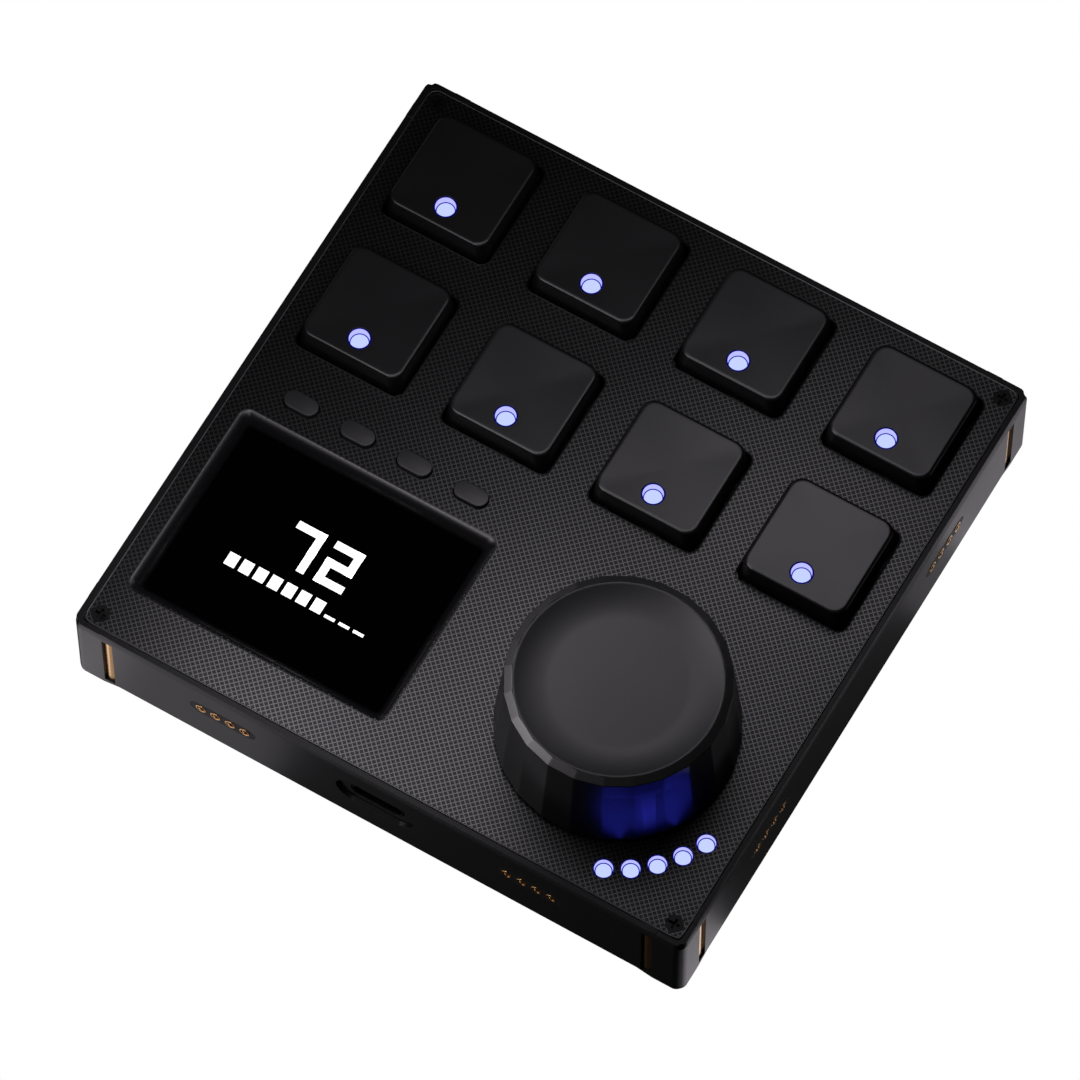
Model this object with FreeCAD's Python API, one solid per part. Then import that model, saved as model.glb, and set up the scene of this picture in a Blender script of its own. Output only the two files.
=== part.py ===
import FreeCAD, Part
import math
import os

Vector = FreeCAD.Vector
UP = Vector(0, 0, 1)

# Origin: centre of the case on the surface that it stands on. X runs along the key rows, Y to the back,
# Z up. All lengths are in millimetres and all angles in degrees.

# Layout of the plate, in from the case's faces
key_margin = 5.1
screen_from_left = 4.0
screen_from_front = 8.9
screen_to_pills = 3.0
pills_to_keys = 7.1
knob_inset = 26.0

# Case
case_corner = 1.5
wall = 2.0
rim_chamfer_width = 0.3
rim_chamfer_height = 1.1
rim_step = 0.15
plate_border = 1.0
plate_thickness = 1.5
plate_corner = 0.9
plate_gap = 0.1
bevel_width = 0.75
bevel_height = 0.75
bevel_from_corner = 4.9
bevel_ramp = 2.6

# Bottom cover, its screw blocks and its feet
cover_thickness = 2.0
cover_gap = 0.15
block_size = 10.5
under_board = 4.0
foot_diameter = 9.0
foot_proud = 0.8
foot_sunk = 0.8
foot_chamfer = 0.3
foot_inset = 19.0
boss_diameter = 5.0
boss_from_middle = 13.0
boss_from_front = 13.2

# Circuit board
board_thickness = 1.6
board_gap = 0.3
chip_size = 7.0
chip_from_encoder = 2.0
chip_height = 0.9
light_chip_size = 2.0
light_chip_height = 0.8

# Screws, all alike
screw_diameter = 1.6
screw_head = 2.9
screw_length = 5.0
screw_play = 0.05
recess_width = 0.4
recess_depth = 0.6
recess_reach = 1.7
corner_screw_inset = 3.0
cover_screw_inset = 10.5

# Keys
key_columns = 4
key_rows = 2
key_pitch = 25.6
key_travel = 3.0
cap_base = 18.0
cap_top = 17.35
cap_rise = 4.0
cap_skirt = 4.5
cap_wall = 1.2
cap_top_thickness = 1.5
cap_base_corner = 1.7
cap_top_corner = 2.1
cap_inner_corner = 0.8
cap_edge_round = 0.5
cap_side_gap = 0.35
opening_corner = 1.5

# Key lamps: a window near the front edge of each cap, with a lens under it
lamp_from_key = 5.2
lamp_window = 3.45
lamp_sunk = 1.2
lens_flange = 4.5
lens_flange_thickness = 0.9

# Key switches
switch_size = 13.9
switch_corner = 0.7
switch_floor = 0.7
switch_roof = 0.9
stem_width = 5.6
stem_depth = 5.2
stem_corner = 0.3
stem_play = 0.15
stem_flange = 0.7
stem_flange_thickness = 0.8
stem_boss = 2.4
stem_boss_wall = 1.0
stem_boss_corner = 0.5
stem_neck_width = 3.8
stem_neck_depth = 2.8
stem_neck_corner = 0.2
stem_neck_length = 1.8
stem_neck_root = 0.7
rest_gap = 0.2
spring_diameter = 3.8
spring_wire = 0.4
spring_play = 0.2
spring_ceiling = 0.9

# Pill buttons behind the screen
pill_count = 4
pill_pitch = 9.9
pills_left_of_screen = 0.1
pill_length = 5.7
pill_width = 3.0
pill_rise = 0.5
pill_edge_round = 0.25
pill_gap = 0.12
pill_flange = 0.8
pill_flange_thickness = 0.8
pill_travel = 0.25
pill_stem = 2.0
tact_length = 4.5
tact_width = 3.4
tact_corner = 0.2
tact_height = 4.0
tact_actuator_diameter = 2.2
tact_actuator_height = 0.6

# Screen
window_width = 41.0
window_depth = 30.9
window_corner = 0.8
bezel_width = 1.7
bezel_below_plate = 0.35
bezel_corner = 1.6
glass_margin = 1.2
glass_thickness = 1.0
glass_corner = 1.0
panel_thickness = 2.0
panel_inset = 0.3
panel_leg = 3.0
panel_leg_corner = 0.3

# Knob and its rotary encoder
knob_facets = 24
knob_base_diameter = 37.26
knob_top_diameter = 34.1
knob_skirt_height = 16.4
knob_above_plate = 1.0
knob_band_height = 0.6
knob_wall = 2.4
knob_web = 2.2
knob_cap_diameter = 31.5
knob_cap_thickness = 2.6
knob_dish_depth = 1.45
knob_dish_flat_diameter = 23.0
knob_dish_edge = 0.2
knob_hub_diameter = 10.0
knob_press_travel = 0.5
knob_press_room = 0.4
shaft_diameter = 6.0
shaft_flat = 4.5
shaft_flat_length = 7.0
shaft_collar_diameter = 8.0
shaft_collar_height = 1.0
encoder_size = 12.5
encoder_height = 6.3
encoder_floor = 0.6
encoder_cavity_gap = 0.5
bushing_diameter = 7.0
bushing_above_plate = 1.6
bushing_gap = 0.3
pusher_diameter = 4.0
pusher_height = 0.7
pusher_room = 0.65

# Lamps beside the knob: five light pipes on an arc
arc_lamps = 5
arc_radius = 22.8
arc_middle_deg = -45.0
arc_step_deg = 10.1
arc_window = 3.05
arc_sunk = 1.1
pipe_flange = 3.7
pipe_flange_thickness = 1.0
pipe_diameter = 2.9
pipe_end_gap = 0.3

# Side contacts: rows of four, two rows on each side but one on the left
contact_offset = 26.5
contact_count = 4
contact_pitch = 2.54
contact_above_board = 2.2
contact_block_length = 11.2
contact_block_height = 3.0
contact_block_depth = 3.9
barrel_diameter = 1.85
barrel_proud = 0.1
barrel_tail = 1.2
barrel_floor = 0.8
plunger_diameter = 1.05
plunger_proud = 0.45
plunger_length = 3.0

# Magnet rods that show through slots beside the corners
magnet_from_corner = 5.9
magnet_diameter = 3.0
magnet_behind_face = 0.4
magnet_slot = 1.8
magnet_bottom = 1.1
magnet_top_gap = 0.1
magnet_bed = 0.6
tab_length = 2.6

# Data port
port_width = 8.94
port_height = 3.26
port_length = 7.3
port_metal = 0.3
port_gap = 0.2
port_back = 2.0
port_recess_width = 13.6
port_recess_height = 6.2
port_recess_depth = 0.5
tongue_width = 6.7
tongue_thickness = 0.7
tongue_from_mouth = 0.8

# Low strip on the left side, beside the screen
strip_from_front = 7.3
strip_length = 38.9
strip_proud = 0.6
strip_thickness = 1.4
strip_low = 3.0
strip_below_rim = 0.5

# Play all round a part that is set into another, and the gap between two that only just miss
fit_play = 0.05
close_gap = 0.02

# Every cut runs past the face that it opens by this much
overrun = 1.0

# Levels, from the standing surface up
case_bottom = foot_proud
cover_top = case_bottom + cover_thickness
board_bottom = cover_top + under_board
board_top = board_bottom + board_thickness
switch_height = switch_floor + key_travel + stem_flange_thickness + 3 * rest_gap + switch_roof
switch_top = board_top + switch_height
cap_boss_bottom = switch_top + rest_gap + key_travel
cap_ceiling = cap_boss_bottom + stem_boss
cap_top_level = cap_ceiling + cap_top_thickness
plate_top = cap_top_level - cap_rise
plate_bottom = plate_top - plate_thickness
screen_level = plate_bottom - bezel_below_plate
rim_top = plate_top - rim_step
side_top = rim_top - rim_chamfer_height
port_level = board_top + port_height / 2
contact_level = board_top + contact_above_board

# Size of the case, from what stands on its plate, and the places that follow from it
bezel_depth = window_depth + 2 * bezel_width
keys_depth = (key_rows - 1) * key_pitch + cap_base
case_width = 2 * key_margin + (key_columns - 1) * key_pitch + cap_base
screen_part = screen_from_front + bezel_depth + screen_to_pills
case_depth = screen_part + pill_width + pills_to_keys + keys_depth + key_margin
half_x = case_width / 2
half_y = case_depth / 2
screen_x = -half_x + screen_from_left + bezel_width + window_width / 2
screen_y = -half_y + screen_from_front + bezel_depth / 2
pill_middle_x = screen_x - pills_left_of_screen
pill_y = screen_y + bezel_depth / 2 + screen_to_pills + pill_width / 2
back_row_y = half_y - key_margin - cap_base / 2
knob_x = half_x - knob_inset
knob_y = -half_y + knob_inset
strip_y = -half_y + strip_from_front + strip_length / 2
boss_y = -half_y + boss_from_front
chip_x = knob_x - encoder_size / 2 - chip_from_encoder - chip_size / 2

# Places
key_places = [
    ((column - (key_columns - 1) / 2) * key_pitch, back_row_y - row * key_pitch)
    for row in range(key_rows)
    for column in range(key_columns)
]
pill_places = [
    (pill_middle_x + (n - (pill_count - 1) / 2) * pill_pitch, pill_y)
    for n in range(pill_count)
]
arc_angles = [
    math.radians(arc_middle_deg + (n - (arc_lamps - 1) / 2) * arc_step_deg)
    for n in range(arc_lamps)
]
arc_places = [
    (knob_x + arc_radius * math.cos(angle), knob_y + arc_radius * math.sin(angle))
    for angle in arc_angles
]
corner_signs = [(-1, -1), (1, -1), (1, 1), (-1, 1)]
boss_places = [
    (-key_pitch, back_row_y - key_pitch / 2),
    (key_pitch, back_row_y - key_pitch / 2),
    (-boss_from_middle, boss_y),
    (boss_from_middle, boss_y),
]

# Each side of the case: the turn that brings +X to its outward direction, how far its face is from the
# centre, and half its length.
front_turn_deg = -90
right_turn_deg = 0
back_turn_deg = 90
left_turn_deg = 180
sides = {
    "front": (front_turn_deg, half_y, half_x),
    "right": (right_turn_deg, half_x, half_y),
    "back": (back_turn_deg, half_y, half_x),
    "left": (left_turn_deg, half_x, half_y),
}
pin_sides = ("front", "right")
pad_sides = ("back", "left")

# Where the contact rows stand along each side. The strip fills the other place on the left.
contact_middles = {
    "front": (-contact_offset, contact_offset),
    "right": (-contact_offset, contact_offset),
    "back": (-contact_offset, contact_offset),
    "left": (-contact_offset,),
}


def box(x0, x1, y0, y1, z0, z1):
    """A block between the given corners."""
    return Part.makeBox(x1 - x0, y1 - y0, z1 - z0, Vector(x0, y0, z0))


def rod(x, y, diameter, z0, z1):
    """An upright round rod."""
    return Part.makeCylinder(diameter / 2, z1 - z0, Vector(x, y, z0))


def joined(shapes):
    """One solid from overlapping or touching ones."""
    first = shapes[0]
    if len(shapes) > 1:
        first = first.multiFuse(shapes[1:])
    return first.removeSplitter()


def group(shapes):
    """Separate solids that share one node."""
    return Part.makeCompound(shapes)


def outline(width, depth, radius, z, x=0, y=0):
    """A rounded rectangle as a closed wire."""
    across, along = width / 2 - radius, depth / 2 - radius
    centres = ((across, along), (-across, along), (-across, -along), (across, -along))
    arcs = []
    for quarter, (cx, cy) in enumerate(centres):
        points = []
        for part_turn in (0, 45, 90):
            angle = math.radians(90 * quarter + part_turn)
            points.append(Vector(x + cx + radius * math.cos(angle), y + cy + radius * math.sin(angle), z))
        arcs.append(points)
    edges = []
    for quarter, points in enumerate(arcs):
        edges.append(Part.Arc(*points).toShape())
        start, end = points[2], arcs[(quarter + 1) % 4][0]
        if not start.isEqual(end, radius * 0.001):
            edges.append(Part.makeLine(start, end))
    return Part.Wire(edges)


def slab(width, depth, radius, z0, z1, x=0, y=0):
    """An upright prism on a rounded rectangle."""
    return Part.Face(outline(width, depth, radius, z0, x, y)).extrude(Vector(0, 0, z1 - z0))


def tapered(lower, upper):
    """A solid between two rounded rectangles, each given as width, depth, radius, height, x and y."""
    return Part.makeLoft([outline(*lower), outline(*upper)], True, True)


def on_side(shape, side):
    """Carries a shape built against the YZ plane, +X outwards, to one side of the case."""
    turn, reach, _ = sides[side]
    angle = math.radians(turn)
    placed = shape.copy()
    placed.rotate(Vector(0, 0, 0), UP, turn)
    placed.translate(Vector(reach * math.cos(angle), reach * math.sin(angle), 0))
    return placed


def upright_stadium(length, height, x0, x1, z, y=0):
    """A stadium standing on edge, its length along Y, between two depths along X."""
    flat = slab(height, length, height / 2, 0, x1 - x0)
    flat.rotate(Vector(0, 0, 0), Vector(0, 1, 0), 90)
    flat.translate(Vector(x0, y, z))
    return flat


def inset_corners(inset):
    """The four places at one distance in from both faces of each corner."""
    return [(sx * (half_x - inset), sy * (half_y - inset)) for sx, sy in corner_signs]


def magnet_offsets(side):
    """Where the magnets stand along one side, from its middle."""
    reach = sides[side][2] - magnet_from_corner
    return (-reach, reach)


# Case frame

def frame_walls():
    """The ring of walls, with its chamfered rim and the rebate that the top plate lies in."""
    low = tapered(
        (case_width, case_depth, case_corner, case_bottom),
        (case_width, case_depth, case_corner, side_top),
    )
    rim_width = case_width - 2 * rim_chamfer_width
    rim_depth = case_depth - 2 * rim_chamfer_width
    high = tapered(
        (case_width, case_depth, case_corner, side_top),
        (rim_width, rim_depth, case_corner - rim_chamfer_width, rim_top),
    )
    inside = box(
        -half_x + wall, half_x - wall, -half_y + wall, half_y - wall,
        case_bottom - overrun, rim_top + overrun,
    )
    rebate_width = case_width - 2 * (plate_border - plate_gap)
    rebate_depth = case_depth - 2 * (plate_border - plate_gap)
    rebate = slab(rebate_width, rebate_depth, plate_corner, plate_bottom, rim_top + overrun)
    return low.fuse(high).cut(inside).cut(rebate)


def corner_post(sx, sy):
    """The thick corner that holds two magnets and a plate screw, and the block above the cover."""
    key_clear = key_margin - 2 * cap_side_gap
    thick = magnet_behind_face + magnet_diameter + fit_play + magnet_bed
    arm = corner_reach()
    post = min(key_clear, corner_screw_inset + screw_diameter)
    shapes = [
        corner_box(sx, sy, post, post, case_bottom, plate_bottom),
        corner_box(sx, sy, thick, arm, case_bottom, plate_bottom),
        corner_box(sx, sy, arm, thick, case_bottom, plate_bottom),
        corner_box(sx, sy, wall + block_size, wall + block_size, cover_top, board_bottom),
    ]
    return joined(shapes)


def corner_reach():
    """How far the thick corner runs along each wall."""
    return magnet_from_corner + magnet_diameter / 2 + magnet_bed


def corner_box(sx, sy, reach_x, reach_y, z0, z1):
    """A block in one corner of the case, just inside its outer faces."""
    skin = wall / 2
    xs = sorted((sx * (half_x - skin), sx * (half_x - reach_x)))
    ys = sorted((sy * (half_y - skin), sy * (half_y - reach_y)))
    return box(xs[0], xs[1], ys[0], ys[1], z0, z1)


def bottom_bevel(side):
    """The bevel under one wall, ramped out before the corners, against the YZ plane."""
    reach = sides[side][2] - bevel_from_corner
    low, high = case_bottom, case_bottom + bevel_height
    front = [
        Vector(0, -reach, low),
        Vector(0, -reach + bevel_ramp, high),
        Vector(0, reach - bevel_ramp, high),
        Vector(0, reach, low),
    ]
    section = [Vector(-bevel_width, -reach, low), Vector(0, -reach, low), Vector(0, -reach, high)]
    along = Part.Face(Part.makePolygon(front + front[:1])).extrude(Vector(-bevel_width, 0, 0))
    across = Part.Face(Part.makePolygon(section + section[:1])).extrude(Vector(0, 2 * reach, 0))
    return along.common(across)


def magnet_pocket(y):
    """The bore of one magnet and the slot that shows it, against the YZ plane."""
    axis = -magnet_behind_face - magnet_diameter / 2
    bore = rod(axis, y, magnet_diameter + 2 * fit_play, case_bottom + magnet_bottom, plate_bottom + overrun)
    slot_top = plate_bottom - magnet_top_gap
    slot = box(axis, overrun, y - magnet_slot / 2, y + magnet_slot / 2, case_bottom + magnet_bottom, slot_top)
    return bore.fuse(slot)


def rim_tab(y):
    """The small tab in the rim above a magnet, level with the plate."""
    inner = -plate_border + plate_gap
    return box(inner, -rim_chamfer_width, y - tab_length / 2, y + tab_length / 2, side_top, plate_top)


def port_cut():
    """The hole and the shallow stadium recess of the data port, against the YZ plane."""
    width, height = port_width + 2 * port_gap, port_height + 2 * port_gap
    hole = upright_stadium(width, height, -wall - overrun, overrun, port_level)
    recess = upright_stadium(port_recess_width, port_recess_height, -port_recess_depth, overrun, port_level)
    return hole.fuse(recess)


def contact_cut(y):
    """The stadium hole of one contact block, against the YZ plane."""
    length = contact_block_length + 2 * fit_play
    height = contact_block_height + 2 * fit_play
    return upright_stadium(length, height, -wall - overrun, overrun, contact_level, y)


def strip_block(play):
    """The side strip's block, grown all round by a play, against the YZ plane of the left side."""
    half = strip_length / 2 + play
    low = case_bottom + strip_low - play
    high = side_top - strip_below_rim + play
    return box(strip_proud - strip_thickness - play, strip_proud, -strip_y - half, -strip_y + half, low, high)


def screw_hole(x, y, top):
    """The clearance of one screw whose head is flush at a level, pointing down."""
    depth = (screw_head - screw_diameter) / 2
    head = Part.makeCone(screw_diameter / 2, screw_head / 2, depth, Vector(x, y, top - depth))
    above = rod(x, y, screw_head, top, top + overrun)
    shank = rod(x, y, screw_diameter + 2 * screw_play, top - screw_length - screw_play, top)
    return head.fuse([above, shank])


def side_frame():
    """The square frame round all four sides, with everything that its walls hold."""
    frame = joined([frame_walls()] + [corner_post(sx, sy) for sx, sy in corner_signs])
    tabs = [on_side(rim_tab(y), side) for side in sides for y in magnet_offsets(side)]
    frame = joined([frame] + tabs)
    cuts = [on_side(magnet_pocket(y), side) for side in sides for y in magnet_offsets(side)]
    cuts += [on_side(bottom_bevel(side), side) for side in sides]
    cuts += [on_side(contact_cut(y), side) for side in sides for y in contact_middles[side]]
    cuts.append(on_side(port_cut(), "front"))
    cuts.append(on_side(strip_block(fit_play), "left"))
    cuts += [screw_hole(x, y, plate_top) for x, y in corner_screw_places()]
    cuts += [upturned(screw_hole(x, y, 0), case_bottom) for x, y in cover_screw_places()]
    return frame.cut(cuts)


def upturned(shape, level):
    """A shape built with its top at zero, turned over so that its top faces down at a level."""
    copy = shape.mirror(Vector(0, 0, 0), UP)
    copy.translate(Vector(0, 0, level))
    return copy


def corner_screw_places():
    return inset_corners(corner_screw_inset)


def cover_screw_places():
    return inset_corners(cover_screw_inset)


# Bottom cover and feet

def foot_places():
    return inset_corners(foot_inset)


def bottom_cover():
    """The cover inside the frame, with seats for the feet and bosses for the board."""
    reach_x = half_x - wall - cover_gap
    reach_y = half_y - wall - cover_gap
    cover = box(-reach_x, reach_x, -reach_y, reach_y, case_bottom, cover_top)
    bosses = [rod(x, y, boss_diameter, case_bottom, board_bottom) for x, y in boss_places]
    cover = joined([cover] + bosses)
    notch = corner_reach() + cover_gap
    low = case_bottom - overrun
    cuts = [corner_box(sx, sy, notch, notch, low, cover_top + overrun) for sx, sy in corner_signs]
    cuts += [rod(x, y, foot_diameter, low, case_bottom + foot_sunk) for x, y in foot_places()]
    cuts += [upturned(screw_hole(x, y, 0), case_bottom) for x, y in cover_screw_places()]
    cuts += [screw_hole(x, y, board_top) for x, y in boss_places]
    return cover.cut(cuts)


def rubber_feet():
    """Four round feet in the cover."""
    feet = []
    for x, y in foot_places():
        foot = rod(x, y, foot_diameter, 0, case_bottom + foot_sunk)
        lower = [edge for edge in foot.Edges if edge.BoundBox.ZMax < foot_chamfer]
        feet.append(foot.makeChamfer(foot_chamfer, lower))
    return group(feet)


# Screws

def screw(x, y, top):
    """A flat head screw with a cross recess, its head flush at a level, pointing down."""
    depth = (screw_head - screw_diameter) / 2
    head = Part.makeCone(screw_diameter / 2, screw_head / 2 - screw_play, depth, Vector(x, y, top - depth))
    shank = rod(x, y, screw_diameter, top - screw_length, top - depth)
    body = head.fuse(shank).removeSplitter()
    low, high = top - recess_depth, top + overrun
    for across, along in ((recess_reach, recess_width), (recess_width, recess_reach)):
        body = body.cut(box(x - across / 2, x + across / 2, y - along / 2, y + along / 2, low, high))
    return body


def case_screws():
    """Twelve screws: four hold the plate, four the cover and four the board."""
    screws = [screw(x, y, plate_top) for x, y in corner_screw_places()]
    screws += [upturned(screw(x, y, 0), case_bottom) for x, y in cover_screw_places()]
    screws += [screw(x, y, board_top) for x, y in boss_places]
    return group(screws)


# Top plate

def key_opening(x, y):
    width = cap_base + 2 * cap_side_gap
    return slab(width, width, opening_corner, plate_bottom - overrun, plate_top + overrun, x, y)


def pill_opening(x, y):
    length, width = pill_length + 2 * pill_gap, pill_width + 2 * pill_gap
    return slab(length, width, width / 2, plate_bottom - overrun, plate_top + overrun, x, y)


def screen_window():
    """The window with its sloped bezel, wider at the top, through the plate and the frame under it."""
    return tapered(
        (window_width, window_depth, window_corner, screen_level, screen_x, screen_y),
        (
            window_width + 2 * bezel_width, window_depth + 2 * bezel_width, bezel_corner,
            plate_top, screen_x, screen_y,
        ),
    )


def top_plate():
    """The plate that the keys, buttons, screen, lamps and knob come through."""
    width = case_width - 2 * plate_border
    depth = case_depth - 2 * plate_border
    flat = slab(width, depth, plate_corner, plate_bottom, plate_top)
    frame_width, frame_depth = glass_size()
    frame = slab(frame_width, frame_depth, glass_corner, screen_level, plate_bottom, screen_x, screen_y)
    plate = joined([flat, frame])
    cuts = [key_opening(x, y) for x, y in key_places]
    cuts += [pill_opening(x, y) for x, y in pill_places]
    cuts.append(screen_window())
    low, high = plate_bottom - overrun, plate_top + overrun
    cuts += [rod(x, y, arc_window, low, high) for x, y in arc_places]
    cuts.append(rod(knob_x, knob_y, bushing_diameter + 2 * bushing_gap, low, high))
    cuts += [screw_hole(x, y, plate_top) for x, y in corner_screw_places()]
    return plate.cut(cuts)


# Circuit board

def light_chip(x, y):
    half = light_chip_size / 2
    return box(x - half, x + half, y - half, y + half, board_top, board_top + light_chip_height)


def main_board():
    """The board with its main chip and one light chip under each lamp."""
    reach_x = half_x - wall - board_gap
    reach_y = half_y - wall - board_gap
    board = box(-reach_x, reach_x, -reach_y, reach_y, board_bottom, board_top)
    notch = corner_reach() + board_gap
    low, high = board_bottom - overrun, board_top + overrun
    cuts = [corner_box(sx, sy, notch, notch, low, high) for sx, sy in corner_signs]
    cuts += [screw_hole(x, y, board_top) for x, y in boss_places]
    half = chip_size / 2
    chip = box(
        chip_x - half, chip_x + half, knob_y - half, knob_y + half, board_top, board_top + chip_height
    )
    lights = [light_chip(x, y - lamp_from_key) for x, y in key_places]
    lights += [light_chip(x, y) for x, y in arc_places]
    return group([board.cut(cuts), chip] + lights)


# Keys

def keycap(x, y):
    """A low square cap: tapered shell, stem socket below and lamp window at the front."""
    base = plate_top - (cap_skirt - cap_rise)
    outer = tapered(
        (cap_base, cap_base, cap_base_corner, base, x, y),
        (cap_top, cap_top, cap_top_corner, cap_top_level, x, y),
    )
    top_edges = [edge for edge in outer.Edges if edge.BoundBox.ZMin > cap_top_level - cap_edge_round / 2]
    outer = outer.makeFillet(cap_edge_round, top_edges)
    inner_base = cap_base - 2 * cap_wall
    inner_top = cap_top - 2 * cap_wall
    inner = tapered(
        (inner_base, inner_base, cap_inner_corner, base, x, y),
        (inner_top, inner_top, cap_inner_corner, cap_ceiling, x, y),
    )
    below = slab(inner_base, inner_base, cap_inner_corner, base - overrun, base, x, y)
    shell = outer.cut([inner, below])
    boss_width = stem_neck_width + 2 * stem_boss_wall
    boss_depth = stem_neck_depth + 2 * stem_boss_wall
    boss = slab(boss_width, boss_depth, stem_boss_corner, cap_boss_bottom, cap_ceiling, x, y)
    socket_width = stem_neck_width + 2 * fit_play
    socket_depth = stem_neck_depth + 2 * fit_play
    socket_top = cap_boss_bottom + stem_neck_length + rest_gap
    socket = slab(
        socket_width, socket_depth, stem_neck_corner, cap_boss_bottom - overrun, socket_top, x, y
    )
    window = rod(x, y - lamp_from_key, lamp_window, cap_ceiling - overrun, cap_top_level + overrun)
    return joined([shell, boss]).cut([socket, window])


def key_stem(x, y):
    """The slider of a switch: a hollow post that holds the spring, a flange and a neck for the cap."""
    flange_top = switch_top - switch_roof - rest_gap
    flange_bottom = flange_top - stem_flange_thickness
    post = slab(stem_width, stem_depth, stem_corner, flange_bottom, cap_boss_bottom, x, y)
    flange = slab(
        stem_width + 2 * stem_flange, stem_depth + 2 * stem_flange, stem_corner,
        flange_bottom, flange_top, x, y,
    )
    neck = slab(
        stem_neck_width, stem_neck_depth, stem_neck_corner,
        cap_boss_bottom - stem_neck_root, cap_boss_bottom + stem_neck_length, x, y,
    )
    bore = rod(x, y, spring_diameter + 2 * spring_play, flange_bottom - overrun, spring_top())
    return joined([post, flange, neck]).cut(bore)


def spring_top():
    """Where the spring ends inside the stem."""
    return cap_boss_bottom - spring_ceiling


def key_spring(x, y):
    """The return spring as a sleeve of the coil's own size, from the switch floor into the stem."""
    bottom = board_top + switch_floor
    outer = rod(x, y, spring_diameter, bottom + fit_play, spring_top() - fit_play)
    bore = rod(x, y, spring_diameter - 2 * spring_wire, bottom, spring_top())
    return outer.cut(bore)


def key_lens(x, y):
    """The lens under a cap's window: a disc with a flange that is glued under the cap's top."""
    centre = y - lamp_from_key
    flange = rod(x, centre, lens_flange, cap_ceiling - lens_flange_thickness, cap_ceiling)
    disc = rod(
        x, centre, lamp_window - 2 * fit_play,
        cap_ceiling - lens_flange_thickness, cap_top_level - lamp_sunk,
    )
    return joined([flange, disc])


def switch_housing(x, y):
    """A switch body with its cavity, the stem's opening and a notch over the light chip."""
    body = slab(switch_size, switch_size, switch_corner, board_top, switch_top, x, y)
    cavity = slab(
        stem_width + 2 * stem_flange + 2 * stem_play, stem_depth + 2 * stem_flange + 2 * stem_play,
        stem_corner, board_top + switch_floor, switch_top - switch_roof, x, y,
    )
    opening = slab(
        stem_width + 2 * stem_play, stem_depth + 2 * stem_play, stem_corner,
        switch_top - switch_roof - overrun, switch_top + overrun, x, y,
    )
    half = lens_flange / 2
    notch_back = y - lamp_from_key + light_chip_size / 2 + board_gap
    notch = box(
        x - half, x + half, y - switch_size / 2 - overrun, notch_back,
        board_top - overrun, switch_top + overrun,
    )
    return body.cut([cavity, opening, notch])


def switch_housings():
    return group([switch_housing(x, y) for x, y in key_places])


# Pill buttons

def pill_button(x, y):
    """A stadium button, its flange under the plate and its stem above the small switch."""
    top = plate_top + pill_rise
    flange_top = plate_bottom - pill_gap
    pill = slab(pill_length, pill_width, pill_width / 2, flange_top, top, x, y)
    top_edges = [edge for edge in pill.Edges if edge.BoundBox.ZMin > top - pill_edge_round / 2]
    pill = pill.makeFillet(pill_edge_round, top_edges)
    length, width = pill_length + 2 * pill_flange, pill_width + 2 * pill_flange
    flange = slab(length, width, pill_flange, flange_top - pill_flange_thickness, flange_top, x, y)
    actuator_top = board_top + tact_height + tact_actuator_height
    stem = rod(x, y, pill_stem, actuator_top + pill_travel + fit_play, flange_top)
    return joined([pill, flange, stem])


def tact_switches():
    """The small switches under the pill buttons."""
    switches = []
    for x, y in pill_places:
        body = slab(tact_length, tact_width, tact_corner, board_top, board_top + tact_height, x, y)
        top = board_top + tact_height
        actuator = rod(x, y, tact_actuator_diameter, top, top + tact_actuator_height)
        switches.append(joined([body, actuator]))
    return group(switches)


# Screen

def glass_size():
    return window_width + 2 * glass_margin, window_depth + 2 * glass_margin


def display_glass():
    """The cover glass, against the frame under the plate's window."""
    width, depth = glass_size()
    return slab(width, depth, glass_corner, screen_level - glass_thickness, screen_level, screen_x, screen_y)


def display_panel():
    """The display in its carrier, which stands on the board on four legs."""
    width, depth = glass_size()
    top = screen_level - glass_thickness
    width -= 2 * panel_inset
    depth -= 2 * panel_inset
    panel = slab(width, depth, glass_corner, top - panel_thickness, top, screen_x, screen_y)
    legs = []
    for sx, sy in corner_signs:
        x = screen_x + sx * (width / 2 - panel_leg)
        y = screen_y + sy * (depth / 2 - panel_leg)
        legs.append(slab(panel_leg, panel_leg, panel_leg_corner, board_top, top - panel_thickness / 2, x, y))
    return joined([panel] + legs)


# Knob

def facet_ring(diameter, z):
    """The faceted outline of the knob as a closed wire, corners on the given diameter."""
    points = []
    for n in range(knob_facets + 1):
        angle = 2 * math.pi * (n + 0.5) / knob_facets
        points.append(
            Vector(knob_x + diameter / 2 * math.cos(angle), knob_y + diameter / 2 * math.sin(angle), z)
        )
    return Part.makePolygon(points)


def turned_solid(profile):
    """A solid turned about the knob's axis from points of radius and height."""
    points = [Vector(knob_x + radius, knob_y, z) for radius, z in profile]
    face = Part.Face(Part.makePolygon(points + points[:1]))
    return face.revolve(Vector(knob_x, knob_y, 0), UP, 360)


def knob_levels():
    """Bottom of the knob, top of its faceted skirt and top of its rim."""
    bottom = plate_top + knob_above_plate
    shoulder = bottom + knob_skirt_height
    return bottom, shoulder, shoulder + knob_band_height


def hub_bottom():
    return plate_top + bushing_above_plate + knob_press_travel + knob_press_room


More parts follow.
